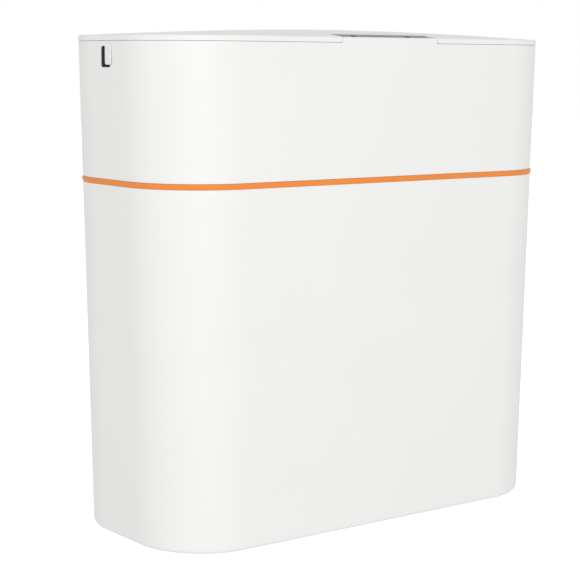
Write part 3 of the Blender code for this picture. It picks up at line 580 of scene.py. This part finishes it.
def make_housing_fittings():
    """The hinge's lugs, the latch's ears, the shelf's rests and the guides beside the switch."""
    lugs = []
    for side in (-1, 1):
        for inner in (-1, 1):
            start = side * HINGE_X + inner * (KNUCKLE_HALF + GAP)
            end = start + inner * 0.0065
            lugs.append(prism(hinge_outline(False), "X", min(start, end), max(start, end)))
    add("hinge_lugs", merge(*lugs), WHITE, "head", edges=(0.0003,))

    fittings = []
    left, front = -TOP_HALF[0], -TOP_HALF[1] + 0.0012
    pin_y, pin_z, ear, shelf = LATCH_PIN.y, LATCH_PIN.z, 0.0032, low("button_shelf").z
    for side in (-1, 1):
        x = NOTCH_X + side * 0.0125
        fittings.append(box((x - 0.0012, front, pin_z - ear), (x + 0.0012, pin_y + ear, pin_z + ear)))
        x = NOTCH_X + side * 0.032
        back = NOTCH_BACK - 0.0014
        fittings.append(box((x - 0.004, front, shelf - 0.003), (x + 0.004, back, shelf - GAP)))
        y = SLOT_Y + side * 0.0085
        fittings.append(box((left + 0.0012, y - 0.001, 0.301), (left + 0.01, y + 0.001, 0.3176)))
    add("housing_fittings", merge(*fittings), WHITE_INSIDE, "head", edges=(0.0004,))


def make_switch():
    start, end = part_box("switch_slider")
    wall = -TOP_HALF[0]
    cap_back = wall - 0.0001
    stem_low, stem_high = start.z + 0.002, end.z - 0.0044
    stem = box((cap_back - 0.0003, SLOT_Y - 0.0039, stem_low), (end.x, SLOT_Y - 0.0014, stem_high))
    grooves, x, half = [], start.x, 0.00012
    low_z, high_z = start.z + 0.0012, end.z - 0.0012
    for y in (start.y + 0.0018, start.y + 0.003, start.y + 0.0042):
        grooves.append(box((x - 0.001, y - half, low_z), (x + 0.0003, y + half, high_z)))
    cap = prism(rounded_box("switch_slider", 0.0016), "X", start.x, cap_back)
    add("switch_tab", cap, WHITE, "switch", ["switch_slider"], joined=[stem], cut=[merge(*grooves)],
        edges=(0.00022, 2, 50))

    start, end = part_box("switch_body")
    inset_y, inset_z = 0.0035, 0.0022
    track_start = (start.x - 0.001, start.y + inset_y, start.z + inset_z)
    track = box(track_start, (start.x + 0.0007, end.y - inset_y, end.z - inset_z))
    add("switch_case", box(start, end), SWITCH, "head", ["switch_body"], cut=[track], edges=(0.0004,))

    thin, back = 0.0005, start.x + 0.0002
    section = [(wall + 0.00025, -0.00005), (back, -0.00005), (back, -thin), (wall + 0.00045, -thin)]
    section.append((wall + 0.00025, -0.0003))
    lining = [[(x, y, z) for y, z in slot_outline(grow)] for x, grow in section]
    add("switch_lining", loft(lining, closed=True), SWITCH, "head", angle=40)
    legs, x = [], end.x
    for y in (middle("switch_body").y - 0.003, middle("switch_body").y + 0.003):
        for z in (start.z + 0.004, start.z + 0.008, start.z + 0.012):
            legs.append(box((x - 0.0002, y - 0.0006, z - 0.0003), (x + 0.0024, y + 0.0006, z + 0.0003)))
    add("switch_terminals", merge(*legs), STEEL, "head", edges=(0.00008, 1))


# ---- button, latch and spring


def make_button():
    front, back = BUTTON_LOW.y, BUTTON_HIGH.y
    dip_z, crest_z = 0.3226, 0.3252
    top = []
    for step in range(25):
        share = step / 24
        y = back - 0.0006 + (front + 0.0008 - (back - 0.0006)) * share
        top.append((y, dip_z + (crest_z - dip_z) * (1 - share) ** 1.7))
    base = 0.315
    outline = [(front, base), (back, base), (back, 0.3246), *top, (front, 0.322)]
    y = LATCH_PIN.y - 0.005
    stem = box((NOTCH_X - 0.01, y - 0.0008, BUTTON_LOW.z), (NOTCH_X - 0.006, y + 0.0008, 0.316))
    wells = []
    for side in ("left", "right"):
        spot = middle("button_lens_" + side)
        wells.append(turned((spot.x, spot.y, 0.3222), UP, [(0.0, 0.0022), (0.006, 0.0022)], 40))
    bar = prism(outline, "X", BUTTON_LOW.x, BUTTON_HIGH.x)
    add("button_bar", bar, GREY, "button", ["open_button"], joined=[stem], cut=[merge(*wells)], angle=30,
        edges=(0.00035, 3, 38))
    for side in ("left", "right"):
        node = "button_lens_" + side
        start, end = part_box(node)
        spot, radius, rise = middle(node), (end.x - start.x) / 2, end.z - start.z
        dome = [(0.0, radius - 0.0002), (0.0002, radius), (rise - 0.0003, radius),
                (rise - 0.0001, radius - 0.0002), (rise + 0.00005, radius * 0.6), (rise + 0.0001, 0.0)]
        lens = turned((spot.x, spot.y, start.z), UP, dome, 40)
        add("lens_" + side, lens, LENS, "button", [node], angle=40)


def make_shelf():
    start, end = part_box("button_shelf")
    x, y, low_z, high_z = NOTCH_X, LATCH_PIN.y, start.z - 0.003, end.z + 0.003
    window = box((x - 0.0105, y - 0.0062, low_z), (x - 0.0055, y - 0.0008, high_z))
    recess = box((x - 0.0108, y + 0.0018, low_z), (x + 0.0108, end.y + 0.001, high_z))
    shelf = box(start, end)
    add("latch_shelf", shelf, DARK, "head", ["button_shelf"], cut=[window, recess], edges=(0.0003,))
    profile = [(0.0, 0.0013), (0.0006, 0.0013), (0.001, 0.0009), (0.001, 0.0)]
    centre = middle("button_spring")
    seat = turned((centre.x, centre.y, end.z - 0.0001), UP, profile)
    add("spring_seat", seat, DARK, "head", angle=40)


def make_latch():
    y, z = LATCH_PIN.y, LATCH_PIN.z
    outline = [
        (y - 0.006, z - 0.0012), (y + 0.0026, z - 0.0024), (y + 0.006, z + 0.0006),
        (y + 0.006, z + 0.0064), (y + 0.0066, z + 0.007), (y + 0.0066, z + 0.0088),
        (y + 0.0058, z + 0.0096), (y + 0.0044, z + 0.0096), (y + 0.0044, z + 0.004),
        (y + 0.0014, z + 0.0022), (y - 0.0014, z + 0.0015), (y - 0.006, z + 0.0012),
    ]
    start, end = low("latch_lever").x, high("latch_lever").x
    bore = rod((start - 0.002, y, z), (end + 0.002, y, z), 0.00108, 24)
    relief = box((NOTCH_X - 0.0046, y + 0.0028, z), (NOTCH_X + 0.0046, y + 0.0052, z + 0.0058))
    lever = prism(outline, "X", start, end)
    add("latch_hook", lever, NYLON, "latch", ["latch_lever"], cut=[bore, relief], edges=(0.0003, 2))
    start, end = low("latch_pin").x, high("latch_pin").x
    axle = rod((start, y, z), (end, y, z), 0.001, 28, 0.0003)
    add("latch_axle", axle, TURNED, "head", ["latch_pin"])


def coil_mesh(centre, low_z, high_z, radius, wire, turns):
    """A compression spring whose end coils lie flat."""
    steps, sides = 28, 10
    total = int((turns + 1.5) * steps)
    rows = []
    for i in range(total + 1):
        angle = 2 * math.pi * i / steps
        share = min(1.0, max(0.0, (i - 0.75 * steps) / (total - 1.5 * steps)))
        height = low_z + wire + (high_z - low_z - 2 * wire) * share
        out = Vector((math.cos(angle), math.sin(angle), 0.0))
        hub = Vector((centre.x, centre.y, height)) + out * radius
        circle = [2 * math.pi * side / sides for side in range(sides)]
        rows.append([hub + wire * (out * math.cos(turn) + Vector(UP) * math.sin(turn)) for turn in circle])
    return loft(rows, closed=False)


def make_spring():
    start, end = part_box("button_spring")
    centre = middle("button_spring")
    bm = coil_mesh(centre, start.z, end.z, 0.0022, 0.0003, 3.2)
    spring = add("coil_spring", bm, TURNED, "head", ["button_spring"], angle=70)
    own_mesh(spring)


# ---- lid


def crown(factor):
    return LID_CROWN * (1.0 - min(1.0, factor) ** CROWN_POWER)


def lid_rows():
    """The lid's rows: the underside from the middle outwards, the edge, then the crown back again."""
    grown_x, grown_y = LID_HALF_X + LID_OVERHANG, LID_HALF_Y + LID_OVERHANG
    edge = rounded(grown_x, grown_y, CORNER_TOP + LID_OVERHANG, runs=SUPPORT)
    inner = rounded(LID_HALF_X - LID_WALL, LID_HALF_Y - LID_WALL, CORNER_TOP - LID_WALL, runs=SUPPORT)

    def scaled(points, factor, drop):
        return [(x * factor, y * factor, LID_EDGE_Z + crown(factor) - drop) for x, y in points]

    def flat(points, inset, z):
        return [(x * (1 - inset / LID_HALF_X), y * (1 - inset / LID_HALF_Y), z) for x, y in points]

    seam, top = SEAM_Z, LID_EDGE_Z
    rows = [scaled(inner, factor, LID_WALL) for factor in (0.02, 0.2, 0.4, 0.6, 0.8, 0.97)]
    rows += [flat(inner, 0.0, top - LID_WALL), flat(inner, 0.0, seam + 0.0003), flat(inner, -0.0003, seam)]
    rows += [
        flat(edge, inset, z) for inset, z in (
            (0.0004, seam), (0.00014, seam + 0.00004), (0.0, seam + 0.0002), (0.0, seam + 0.001),
            (0.0, top - 0.0014), (0.00004, top - 0.0008), (0.00022, top - 0.00034), (0.00055, top - 0.00004),
            (0.0011, top + 0.00014),
        )
    ]
    factors = (0.965, 0.94, 0.9, 0.86, 0.8, 0.74, 0.66, 0.58, 0.5, 0.4, 0.3, 0.2, 0.1, 0.02)
    return rows + [scaled(edge, factor, 0.0) for factor in factors]


def notch_mesh():
    """The lid's front notch: its lower corners flare outwards in a small radius."""
    left, right, flare = TAB_LEFT - GAP, TAB_RIGHT + GAP / 2, NOTCH_FLARE
    low_z, high_z = SEAM_Z - 0.01, LID_EDGE_Z + 0.01
    points = [(left - flare, low_z), (right + flare, low_z)]
    points += arc((right + flare, SEAM_Z + flare), flare, 270, 180, 8)
    points += [(right, high_z), (left, high_z)]
    points += arc((left - flare, SEAM_Z + flare), flare, 0, -90, 8)
    return prism(points, "Y", -0.082, NOTCH_BACK)


def lid_underside(face):
    """Picks the second material for the faces that look down into the lid."""
    return face.normal.z < -0.5 and face.calc_center_median().z > SEAM_Z + 0.001


def make_lid():
    joined, cut = [], [notch_mesh()]
    y, z, half = HINGE.y, HINGE.z, 0.00355
    for side in (-1, 1):
        hub = side * HINGE_X
        for inner in (-1, 1):
            x = hub + inner * (KNUCKLE_HALF + GAP + 0.00325)
            cut.append(box((x - half, y - 0.0042, SEAM_Z - 0.005), (x + half, y + 0.01, 0.329)))
        joined.append(prism(hinge_outline(True), "X", hub - KNUCKLE_HALF, hub + KNUCKLE_HALF))
        cut.append(rod((hub - 0.02, y, z), (hub + 0.02, y, z), HINGE_PIN_R + PLAY))
    shell = loft(lid_rows(), closed=False)
    add("lid_shell", shell, [WHITE, WHITE_INSIDE], "lid", ["lid"], joined=joined, cut=cut, angle=40,
        inner=lid_underside)


def make_lid_fittings():
    """Screw bosses, the lip that finds the housing's rim, the hinge's pins and the latch's striker."""
    floor = TRAY_LOW.z + 0.0023
    for side in CORNERS:
        x, y, _ = middle("tray_screw_" + side)
        length = LID_EDGE_Z + crown(max(abs(x) / LID_HALF_X, abs(y) / LID_HALF_Y)) - LID_WALL / 2 - floor
        post = [(0.0, 0.0017), (0.0, 0.0033), (0.0003, 0.0036), (length - 0.004, 0.0036),
                (length - 0.002, 0.0042), (length - 0.0012, 0.0052), (length, 0.0052), (length, 0.0)]
        add("lid_boss_" + side, turned((x, y, floor), UP, post), WHITE_INSIDE, "lid", angle=40)

    bead = ((0.0026, 0.0052), (0.0009, 0.0052), (0.0005, 0.0055), (0.0003, 0.006), (0.0005, 0.0065),
            (0.0009, 0.0068), (0.0026, 0.0068))
    lip = shell_mesh([(SEAM_Z + rise, inset) for rise, inset in bead], closed=True)
    gap = box((TAB_LEFT - 0.004, -0.08, SEAM_Z - 0.01), (TAB_RIGHT + 0.004, -0.05, SEAM_Z + 0.01))
    add("lid_locating_lip", lip, WHITE_INSIDE, "lid", cut=[gap], angle=40)

    y, z = HINGE.y, HINGE.z
    for side in ("left", "right"):
        node = "hinge_pin_" + side
        pin = rod((low(node).x, y, z), (high(node).x, y, z), HINGE_PIN_R, 32, 0.0003)
        add("lid_axle_" + side, pin, TURNED, "head", [node])

    start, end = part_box("lid_striker")
    x = (start.x + end.x) / 2
    outline = rounded((end.x - start.x) / 2, (end.z - start.z) / 2, 0.0014, 8, (x, (start.z + end.z) / 2))
    window = prism(rounded(0.0045, 0.0019, 0.0006, 6, (x, 0.3091)), "Y", start.y - 0.002, end.y + 0.002)
    plate = prism(outline, "Y", start.y, end.y)
    add("striker_plate", plate, STEEL, "lid", ["lid_striker"], cut=[window], edges=(0.00015, 2))


# ---- drive tray and screws


def tray_ring(inset, z):
    centre = (0.0, (TRAY_LOW.y + TRAY_HIGH.y) / 2)
    half_y = (TRAY_HIGH.y - TRAY_LOW.y) / 2
    outline = rounded(TRAY_HIGH.x - inset, half_y - inset, max(0.0088 - inset, 0.001), 10, centre)
    return [(x, y, z) for x, y in outline]


def collar_mesh(x, wall, sign):
    """A bearing collar on the tray's wall, round a shaft."""
    inner = SHAFT_R + 0.0001
    rows = []
    for along, radius in ((0.0, inner), (0.0, 0.0052), (0.002, 0.0048), (0.0024, 0.0044), (0.0024, inner)):
        turns = [2 * math.pi * i / 40 for i in range(40)]
        y = wall + sign * along
        rows.append([(x + radius * math.cos(turn), y, SHAFT_Z + radius * math.sin(turn)) for turn in turns])
    return loft(rows, closed=True)


def make_tray():
    base, top = TRAY_LOW.z, TRAY_HIGH.z
    section = (
        (0.0014, base), (0.0006, base + 0.0002), (0.0001, base + 0.0007), (0.0, base + 0.0013),
        (0.0, top - 0.0003), (0.0003, top), (0.0017, top), (0.002, top - 0.0003), (0.002, base + 0.003),
        (0.0024, base + 0.0022), (0.0032, base + 0.002),
    )
    tray = loft([tray_ring(*place) for place in section], closed=False)
    bore = [(0.0, SHAFT_R + PLAY), (0.13, SHAFT_R + PLAY)]
    bores = [turned((x, -0.06, SHAFT_Z), ACROSS, bore, 40) for x in (DRIVE_X, IDLER_X)]
    holes = []
    for side in CORNERS:
        spot = middle("tray_screw_" + side)
        holes.append(turned((spot.x, spot.y, base - 0.002), UP, [(0.0, 0.0016), (0.008, 0.0016)], 24))
    slots = []
    for column in range(13):
        for y in (-0.0225, 0.0285):
            outline = rounded(0.0011, 0.0085, 0.00105, 5, (-0.03 + column * 0.0085, y))
            slots.append(prism(outline, "Z", base - 0.002, base + 0.006))
    cut = [merge(*bores), merge(*holes), merge(*slots)]
    add("tray_shell", tray, PRESS, "lid", ["drive_tray"], cut=cut, angle=35, edges=(0.0002, 2, 60))
    walls = ((TRAY_LOW.y + 0.0019, 1), (TRAY_HIGH.y - 0.0019, -1))
    collars = [collar_mesh(x, wall, sign) for x in (DRIVE_X, IDLER_X) for wall, sign in walls]
    add("tray_collars", merge(*collars), PRESS, "lid", angle=40)


def make_screws():
    """Tray screws with a cross recess."""
    head_low = low("tray_screw_front_left").z
    profile = [(0.0, 0.0), (0.0, 0.0018), (0.0002, 0.0025), (0.0006, 0.0029), (0.0014, 0.003),
               (0.0014, 0.0015), (0.011, 0.0015), (0.0127, 0.0006)]
    for side in CORNERS:
        x, y, _ = middle("tray_screw_" + side)
        cross = []
        for wide, tall in ((0.0016, 0.0003), (0.0003, 0.0016)):
            start = (x - wide, y - tall, head_low - 0.001)
            cross.append(box(start, (x + wide, y + tall, head_low + 0.0009)))
        screw = turned((x, y, head_low), UP, profile)
        add("screw_" + side, screw, TURNED, "lid", ["tray_screw_" + side], cut=cross)


# ---- press plate, links, shafts and pins

PLATE_CENTRE = (0.02, 0.003)
PLATE_TOP_Z = 0.2804


def plate_ring(inset, z):
    outline = rounded(0.126 - inset, 0.0465 - inset, max(0.03 - inset, 0.002), 18, PLATE_CENTRE, SUPPORT)
    return [(x, y, z) for x, y in outline]


def make_plate():
    base, top, groove = low("press_plate").z, PLATE_TOP_Z, 0.0007
    section = [(0.029, base), (0.0286, base + groove), (0.0262, base + groove), (0.0258, base)]
    for inset in (0.018, 0.01):
        section += [(inset + 0.0016, base), (inset + 0.0012, base + groove)]
        section += [(inset - 0.0012, base + groove), (inset - 0.0016, base)]
    section += [
        (0.0034, base), (0.002, base + 0.0002), (0.0009, base + 0.0009), (0.0002, base + 0.0019),
        (0.0, base + 0.003), (0.0, top + 0.0017), (0.0003, top + 0.002), (0.0015, top + 0.002),
        (0.0018, top + 0.0017), (0.0018, top + 0.0004), (0.0024, top),
    ]
    pan = loft([plate_ring(*place) for place in section], closed=False)
    add("press_pan", pan, PRESS, "press", ["press_plate"], angle=38)

    ribs, half, rib_low, rib_high = [], 0.0008, top - 0.0004, top + 0.0017
    for y in (-0.03, 0.003, 0.036):
        ribs.append(box((-0.09, y - half, rib_low), (0.13, y + half, rib_high)))
    for x in (-0.07, -0.04, -0.01, 0.05, 0.08, 0.116):
        ribs.append(box((x - half, -0.0415, rib_low), (x + half, 0.0475, rib_high)))
    add("press_ribs", merge(*ribs), PRESS, "press", edges=(0.0002, 2))

    lugs, bores, foot, waist = [], [], top - 0.0008, top + 0.0012
    for place in ("left", "right"):
        x = middle("plate_pin_front_" + place).x
        outline = [(x - 0.0064, foot), (x - 0.0048, waist), *arc((x, PLATE_PIN_Z), 0.0038, 180, 0, 20),
                   (x + 0.0048, waist), (x + 0.0064, foot)]
        lugs += [prism(outline, "Y", start, start + 0.004) for start in (-0.0431, 0.0451)]
        bores.append(bore_mesh(x, PLATE_PIN_Z, PIN_R + PLAY))
    add("press_lugs", merge(*lugs), PRESS, "press", cut=[merge(*bores)], edges=(0.0003, 2, 50))


def make_plate_pins():
    """Pins with a head at the outer end."""
    head = [(0.0, 0.0), (0.0, 0.0024), (0.0002, 0.0028), (0.001, 0.0028), (0.0011, 0.002)]
    for side in SIDES:
        for place in ("left", "right"):
            node = f"plate_pin_{side}_{place}"
            start, end = low(node).y, high(node).y
            length = end - start
            if side == "front":
                profile = [*head, (length - 0.0003, 0.002), (length, 0.0017), (length, 0.0)]
            else:
                profile = [(0.0, 0.0), (0.0, 0.0017), (0.0003, 0.002)]
                profile += [(length - along, radius) for along, radius in reversed(head)]
            pin = turned((middle(node).x, start, PLATE_PIN_Z), ACROSS, profile)
            add(f"pan_pin_{side}_{place}", pin, TURNED, "press", [node], angle=30)


def oblong(start, end, start_r, end_r, slope, steps):
    """Two round ends joined by straight sides, in X and Z."""
    first = arc(start, start_r, slope + 90, slope + 270, steps)
    return [*first, *arc(end, end_r, slope - 90, slope + 90, steps)]


def make_links():
    for body, x, place in (("drive", DRIVE_X, "left"), ("idler", IDLER_X, "right")):
        tip = middle("plate_pin_front_" + place).x
        turn = math.atan2(PLATE_PIN_Z - SHAFT_Z, tip - x)
        slope = math.degrees(turn)
        for side in SIDES:
            node = f"{body}_link_{side}"
            start, end = low(node).y, high(node).y
            outline = oblong((x, SHAFT_Z), (tip, PLATE_PIN_Z), 0.0046, 0.0038, slope, 24)
            holes = [bore_mesh(x, SHAFT_Z, SHAFT_R + PLAY, start - 0.01, end + 0.01)]
            holes.append(bore_mesh(tip, PLATE_PIN_Z, PIN_R + PLAY, start - 0.01, end + 0.01))
            for share in (0.16, 0.34, 0.52, 0.7):
                runs = (0.13 * share, 0.13 * share + 0.015)
                ends = [(x + math.cos(turn) * run, SHAFT_Z + math.sin(turn) * run) for run in runs]
                pocket = oblong(*ends, 0.0013, 0.0013, slope, 10)
                holes.append(prism(pocket, "Y", start - 0.001, end + 0.001))
            bar = prism(outline, "Y", start, end)
            add(f"{body}_arm_{side}", bar, STEEL, body, [node], cut=[merge(*holes)], edges=(0.00025, 2, 50))


def make_shafts():
    for body in ("drive", "idler"):
        node = body + "_shaft"
        start, end = low(node).y, high(node).y
        profile = [(0.0, 0.0), (0.0, 0.002), (0.0004, 0.0025), (0.0009, 0.0025), (0.001, 0.0034),
                   (0.0014, 0.0034), (0.0015, 0.0025)]
        profile += [(end - start - along, radius) for along, radius in reversed(profile)]
        axle = turned((middle(node).x, start, SHAFT_Z), ACROSS, profile, 40)
        add(body + "_axle", axle, TURNED, body, [node], angle=30)


# ---- gears and motor


def gear_rows(teeth, centre_x, phase, bore, start, end):
    """A moulded spur gear round an axis along Y, with curved flanks, a recessed web and a hub."""
    module = 0.001
    pitch = module * teeth / 2
    root, tip = pitch - 1.2 * module, pitch + 0.9 * module
    flank = ((0.0, -0.3), (0.08, -0.285), (0.3, -0.25), (0.57, -0.205), (0.82, -0.155), (1.0, -0.115))
    shape = [*flank, *((share, -offset) for share, offset in reversed(flank))]
    step = 2 * math.pi / teeth

    def row(y, trim, circle=None):
        points = []
        for tooth in range(teeth):
            for share, offset in shape:
                radius = circle or root + (tip - root) * share - trim
                angle = phase + (tooth + offset) * step
                points.append((centre_x + radius * math.cos(angle), y, SHAFT_Z + radius * math.sin(angle)))
        return points

    places = [(start, 0.0002), (start + 0.0002, 0.0), (end - 0.0002, 0.0), (end, 0.0002)]
    web, hub, recess = root - 0.0014, bore + 0.0018, 0.0016
    sunk = [(recess, web - 0.0003), (recess, hub + 0.0003), (0.0, hub)] if teeth > 12 else []
    if sunk:
        places += [(end, 0, web), *((end - depth, 0, radius) for depth, radius in sunk)]
    places += [(end, 0, bore), (start, 0, bore)]
    if sunk:
        places += [*((start + depth, 0, radius) for depth, radius in reversed(sunk)), (start, 0, web)]
    return [row(*place) for place in places]


def make_gears():
    for node, name, teeth, phase, bore, body, x in (
        ("shaft_gear", "wheel", 24, 0.0, SHAFT_R + PLAY, "drive", DRIVE_X),
        ("motor_pinion", "pinion_wheel", 10, math.pi / 10, 0.00158, "pinion", PINION_X),
    ):
        rows = gear_rows(teeth, x, phase, bore, low(node).y, high(node).y)
        add(name, loft(rows, closed=True), NYLON, body, [node], angle=35)


def make_motor():
    x, radius = PINION_X, MOTOR_R
    start, end = low("gear_motor").y, high("gear_motor").y
    length, dent = end - start, radius - 0.0003
    profile = [
        (0.0, 0.0), (0.0, 0.0036), (0.0004, 0.0042), (0.003, 0.0042), (0.003, radius - 0.0012),
        (0.0034, radius - 0.0004), (0.004, radius), (0.029, radius), (0.0292, dent), (0.0298, dent),
        (0.03, radius), (0.0364, radius), (0.0366, dent), (0.0372, dent), (0.0374, radius),
        (0.0496, radius), (0.05, radius - 0.0004), (0.05, 0.0036), (0.052, 0.0034),
        (0.052, 0.0015), (length - 0.0002, 0.0015), (length, 0.0012), (length, 0.0),
    ]
    extras = []
    rivet = [(0.0, 0.0011), (0.0007, 0.0011), (0.0009, 0.0008), (0.0009, 0.0)]
    for angle in (45, 135, 225, 315):
        turn = math.radians(angle)
        place = (x + 0.0075 * math.cos(turn), start + 0.0498, SHAFT_Z + 0.0075 * math.sin(turn))
        extras.append(turned(place, ACROSS, rivet, 20))
    for tab in (x - 0.0065, x + 0.0065):
        low_end = (tab - 0.0004, start + 0.0006, SHAFT_Z - 0.0012)
        extras.append(box(low_end, (tab + 0.0004, start + 0.0034, SHAFT_Z + 0.0012)))
    can = turned((x, start, SHAFT_Z), ACROSS, profile, 56)
    add("motor_can", merge(can, *extras), STEEL, "lid", ["gear_motor"], angle=30)

    start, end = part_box("motor_clamp")
    inner = MOTOR_R + GAP
    outer = inner + 0.0016
    outline = [(x + outer, start.z), *arc((x, SHAFT_Z), outer, 0, 180, 36), (x - outer, start.z)]
    outline += [(x - inner, start.z), *arc((x, SHAFT_Z), inner, 180, 0, 36), (x + inner, start.z)]
    strap = prism(outline, "Y", start.y, end.y)
    add("clamp_strap", strap, STEEL, "lid", ["motor_clamp"], edges=(0.0003, 2, 50))


# ---- cells, cradle and board


def make_cells():
    for side in SIDES:
        node = "battery_cell_" + side
        spot, start, end = middle(node), low(node).x, high(node).x
        radius, length = CELL_R, end - start
        sleeve = [
            (0.0, 0.0), (0.0, radius - 0.0014), (0.0001, radius - 0.0004), (0.0006, radius),
            (0.003, radius), (length - 0.0036, radius), (length - 0.0024, radius),
            (length - 0.0019, radius - 0.0004), (length - 0.0018, radius - 0.002),
            (length - 0.002, radius - 0.0026), (length - 0.002, 0.0),
        ]
        nub = [(0.0, 0.0), (0.0, 0.004), (0.0016, 0.0034), (0.0019, 0.0028), (0.0019, 0.0)]
        cell = paint(turned((start, spot.y, spot.z), LENGTHWAYS, sleeve, 48), 0)
        cap = paint(turned((end - 0.0019, spot.y, spot.z), LENGTHWAYS, nub, 40), 1)
        add("cell_" + side, merge(cell, cap), [WRAP, STEEL], "lid", [node], angle=35)

    start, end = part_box("cell_cradle")
    grooves, tabs = [], []
    for side in SIDES:
        _, y, z = middle("battery_cell_" + side)
        grooves.append(rod((0.0176, y, z), (0.0834, y, z), CELL_R + GAP, 48))
        for x in (start.x + 0.0004, end.x - 0.0008):
            tabs.append(box((x, y - 0.003, end.z - 0.001), (x + 0.0004, y + 0.003, end.z + 0.006)))
    add("cradle", box(start, end), DARK, "lid", ["cell_cradle"], cut=grooves, edges=(0.0004, 2, 50))
    add("cell_contacts", merge(*tabs), STEEL, "lid", edges=(0.0001, 1))


def make_board():
    start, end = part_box("control_board")
    drills = []
    for index in range(1, 5):
        x, y, _ = middle(f"board_stand_{index}")
        drills.append(rod((x, y, start.z - 0.002), (x, y, end.z + 0.002), 0.0011, 24))
    slab = box(start, end)
    add("board_slab", slab, BOARD, "lid", ["control_board"], cut=[merge(*drills)], edges=(0.00012, 1))


def make_board_parts():
    """Chips with their legs, small parts in rows, three round capacitors and two sockets."""
    top = high("control_board").z
    bits = []

    def block(x, y, half_x, half_y, tall, index):
        bm = box((x - half_x, y - half_y, top), (x + half_x, y + half_y, top + tall))
        bits.append(paint(bm, index))

    for x, y, wide, deep, tall in (
        (0.05, 0.028, 0.0045, 0.0045, 0.0012), (0.034, 0.033, 0.0026, 0.0021, 0.0016),
        (0.066, 0.02, 0.0032, 0.0024, 0.0015), (0.038, 0.019, 0.0026, 0.002, 0.0015),
    ):
        block(x, y, wide, deep, tall, 0)
        for leg in range(-3, 4):
            for side in (-1, 1):
                block(x + leg * wide / 4, y + side * (deep + 0.00045), 0.00018, 0.00045, 0.0004, 1)
    for index in range(22):
        y = random.choice((0.0144, 0.025, 0.0372, 0.0405))
        block(0.024 + 0.0024 * index, y, 0.0007, 0.0004, 0.0005, 2 if index % 3 else 0)
    can = [(0.0, 0.0024), (0.0008, 0.0024), (0.001, 0.0022), (0.0012, 0.0024), (0.0058, 0.0024),
           (0.006, 0.0022), (0.006, 0.0)]
    for x, y in ((0.058, 0.037), (0.066, 0.037), (0.073, 0.03)):
        bits.append(paint(turned((x, y, top), UP, can, 28), 3))
    for x in (0.0295, 0.0235):
        block(x, 0.027, 0.0022, 0.004, 0.0052, 4)
    add("board_parts", merge(*bits), [CHIP, STEEL, COPPER, CAP_BLUE, NYLON], "lid", angle=35)


def make_board_stands():
    for index in range(1, 5):
        node = f"board_stand_{index}"
        x, y, _ = middle(node)
        height = high(node).z - low(node).z
        profile = [(0.0, 0.0023), (0.0002, 0.0024), (height - 0.0006, 0.0024), (height - 0.0004, 0.0021)]
        stand = turned((x, y, low(node).z), UP, [*profile, (height, 0.0021)], 28)
        add(f"stand_{index}", stand, NYLON, "lid", [node], angle=35)


# ---- stage, light and camera


def make_floor():
    """A pale floor that is see-through from below and stays out of the object's own light."""
    sheet = bmesh.new()
    bmesh.ops.create_grid(sheet, x_segments=4, y_segments=4, size=6.0)
    paper = surface("floor_paper", (0.9, 0.9, 0.9), 0.8, tint=0.01, patch=1.0, grain=80.0)
    floor = mesh_object("studio_floor", sheet, [paper])
    tree = paper.node_tree
    shader = tree.nodes["Principled BSDF"]
    put(tree, shader, Emission_Color=(1.0, 1.0, 1.0, 1.0), Emission_Strength=0.55)
    back = new_node(tree, "NewGeometry").outputs["Backfacing"]
    choice = new_node(tree, "MixShader", Fac=back)
    tree.links.new(shader.outputs["BSDF"], choice.inputs[1])
    tree.links.new(new_node(tree, "BsdfTransparent").outputs["BSDF"], choice.inputs[2])
    put(tree, tree.nodes["Material Output"], Surface=choice.outputs["Shader"])
    floor.visible_diffuse = False
    floor.visible_glossy = False


def make_light(scene):
    """A white surround that lights from above a little less than from the sides, and one large soft lamp."""
    scene.view_settings.view_transform = "Standard"
    scene.world = bpy.data.worlds.new("studio")
    scene.world.use_nodes = True
    tree = scene.world.node_tree
    split = new_node(tree, "SeparateXYZ", Vector=new_node(tree, "TexCoord").outputs["Generated"])
    dome = ranged(tree, split.outputs["Z"], 0.84, 0.66, 0.0, 0.9)
    seen = new_node(tree, "LightPath").outputs["Is Camera Ray"]
    strength = new_node(tree, "MapRange", Value=seen, To_Min=dome, To_Max=1.0)
    put(tree, tree.nodes["Background"], Color=(1.0, 1.0, 1.0, 1.0), Strength=strength.outputs["Result"])

    lamp = bpy.data.lights.new("key", "AREA")
    lamp.shape = "SQUARE"
    lamp.size = 1.5
    lamp.energy = 14.2
    key = bpy.data.objects.new("key", lamp)
    key.location = (-0.95, -1.55, 0.75)
    key.visible_glossy = False
    key.rotation_mode = "QUATERNION"
    key.rotation_quaternion = (key.location - Vector((0.0, 0.0, 0.18))).to_track_quat("Z", "Y")
    scene.collection.objects.link(key)


def make_camera(scene):
    lens = bpy.data.cameras.new("camera")
    lens.sensor_width = 36.0
    lens.lens = 103.75
    lens.clip_start = 0.05
    lens.clip_end = 30.0
    camera = bpy.data.objects.new("camera", lens)
    camera.matrix_world = Matrix((
        (0.79758922, 0.07756382, -0.59819336, -0.70383),
        (-0.60316685, 0.11310517, -0.78955492, -0.9),
        (0.00641787, 0.99055089, 0.13699539, 0.30948),
        (0.0, 0.0, 0.0, 1.0),
    ))
    scene.collection.objects.link(camera)
    scene.camera = camera


make_bin()
make_ring()
make_feet()
make_housing()
make_housing_fittings()
make_switch()
make_button()
make_shelf()
make_latch()
make_spring()
make_lid()
make_lid_fittings()
make_tray()
make_screws()
make_plate()
make_plate_pins()
make_links()
make_shafts()
make_gears()
make_motor()
make_cells()
make_board()
make_board_parts()
make_board_stands()
make_floor()
make_light(bpy.context.scene)
make_camera(bpy.context.scene)
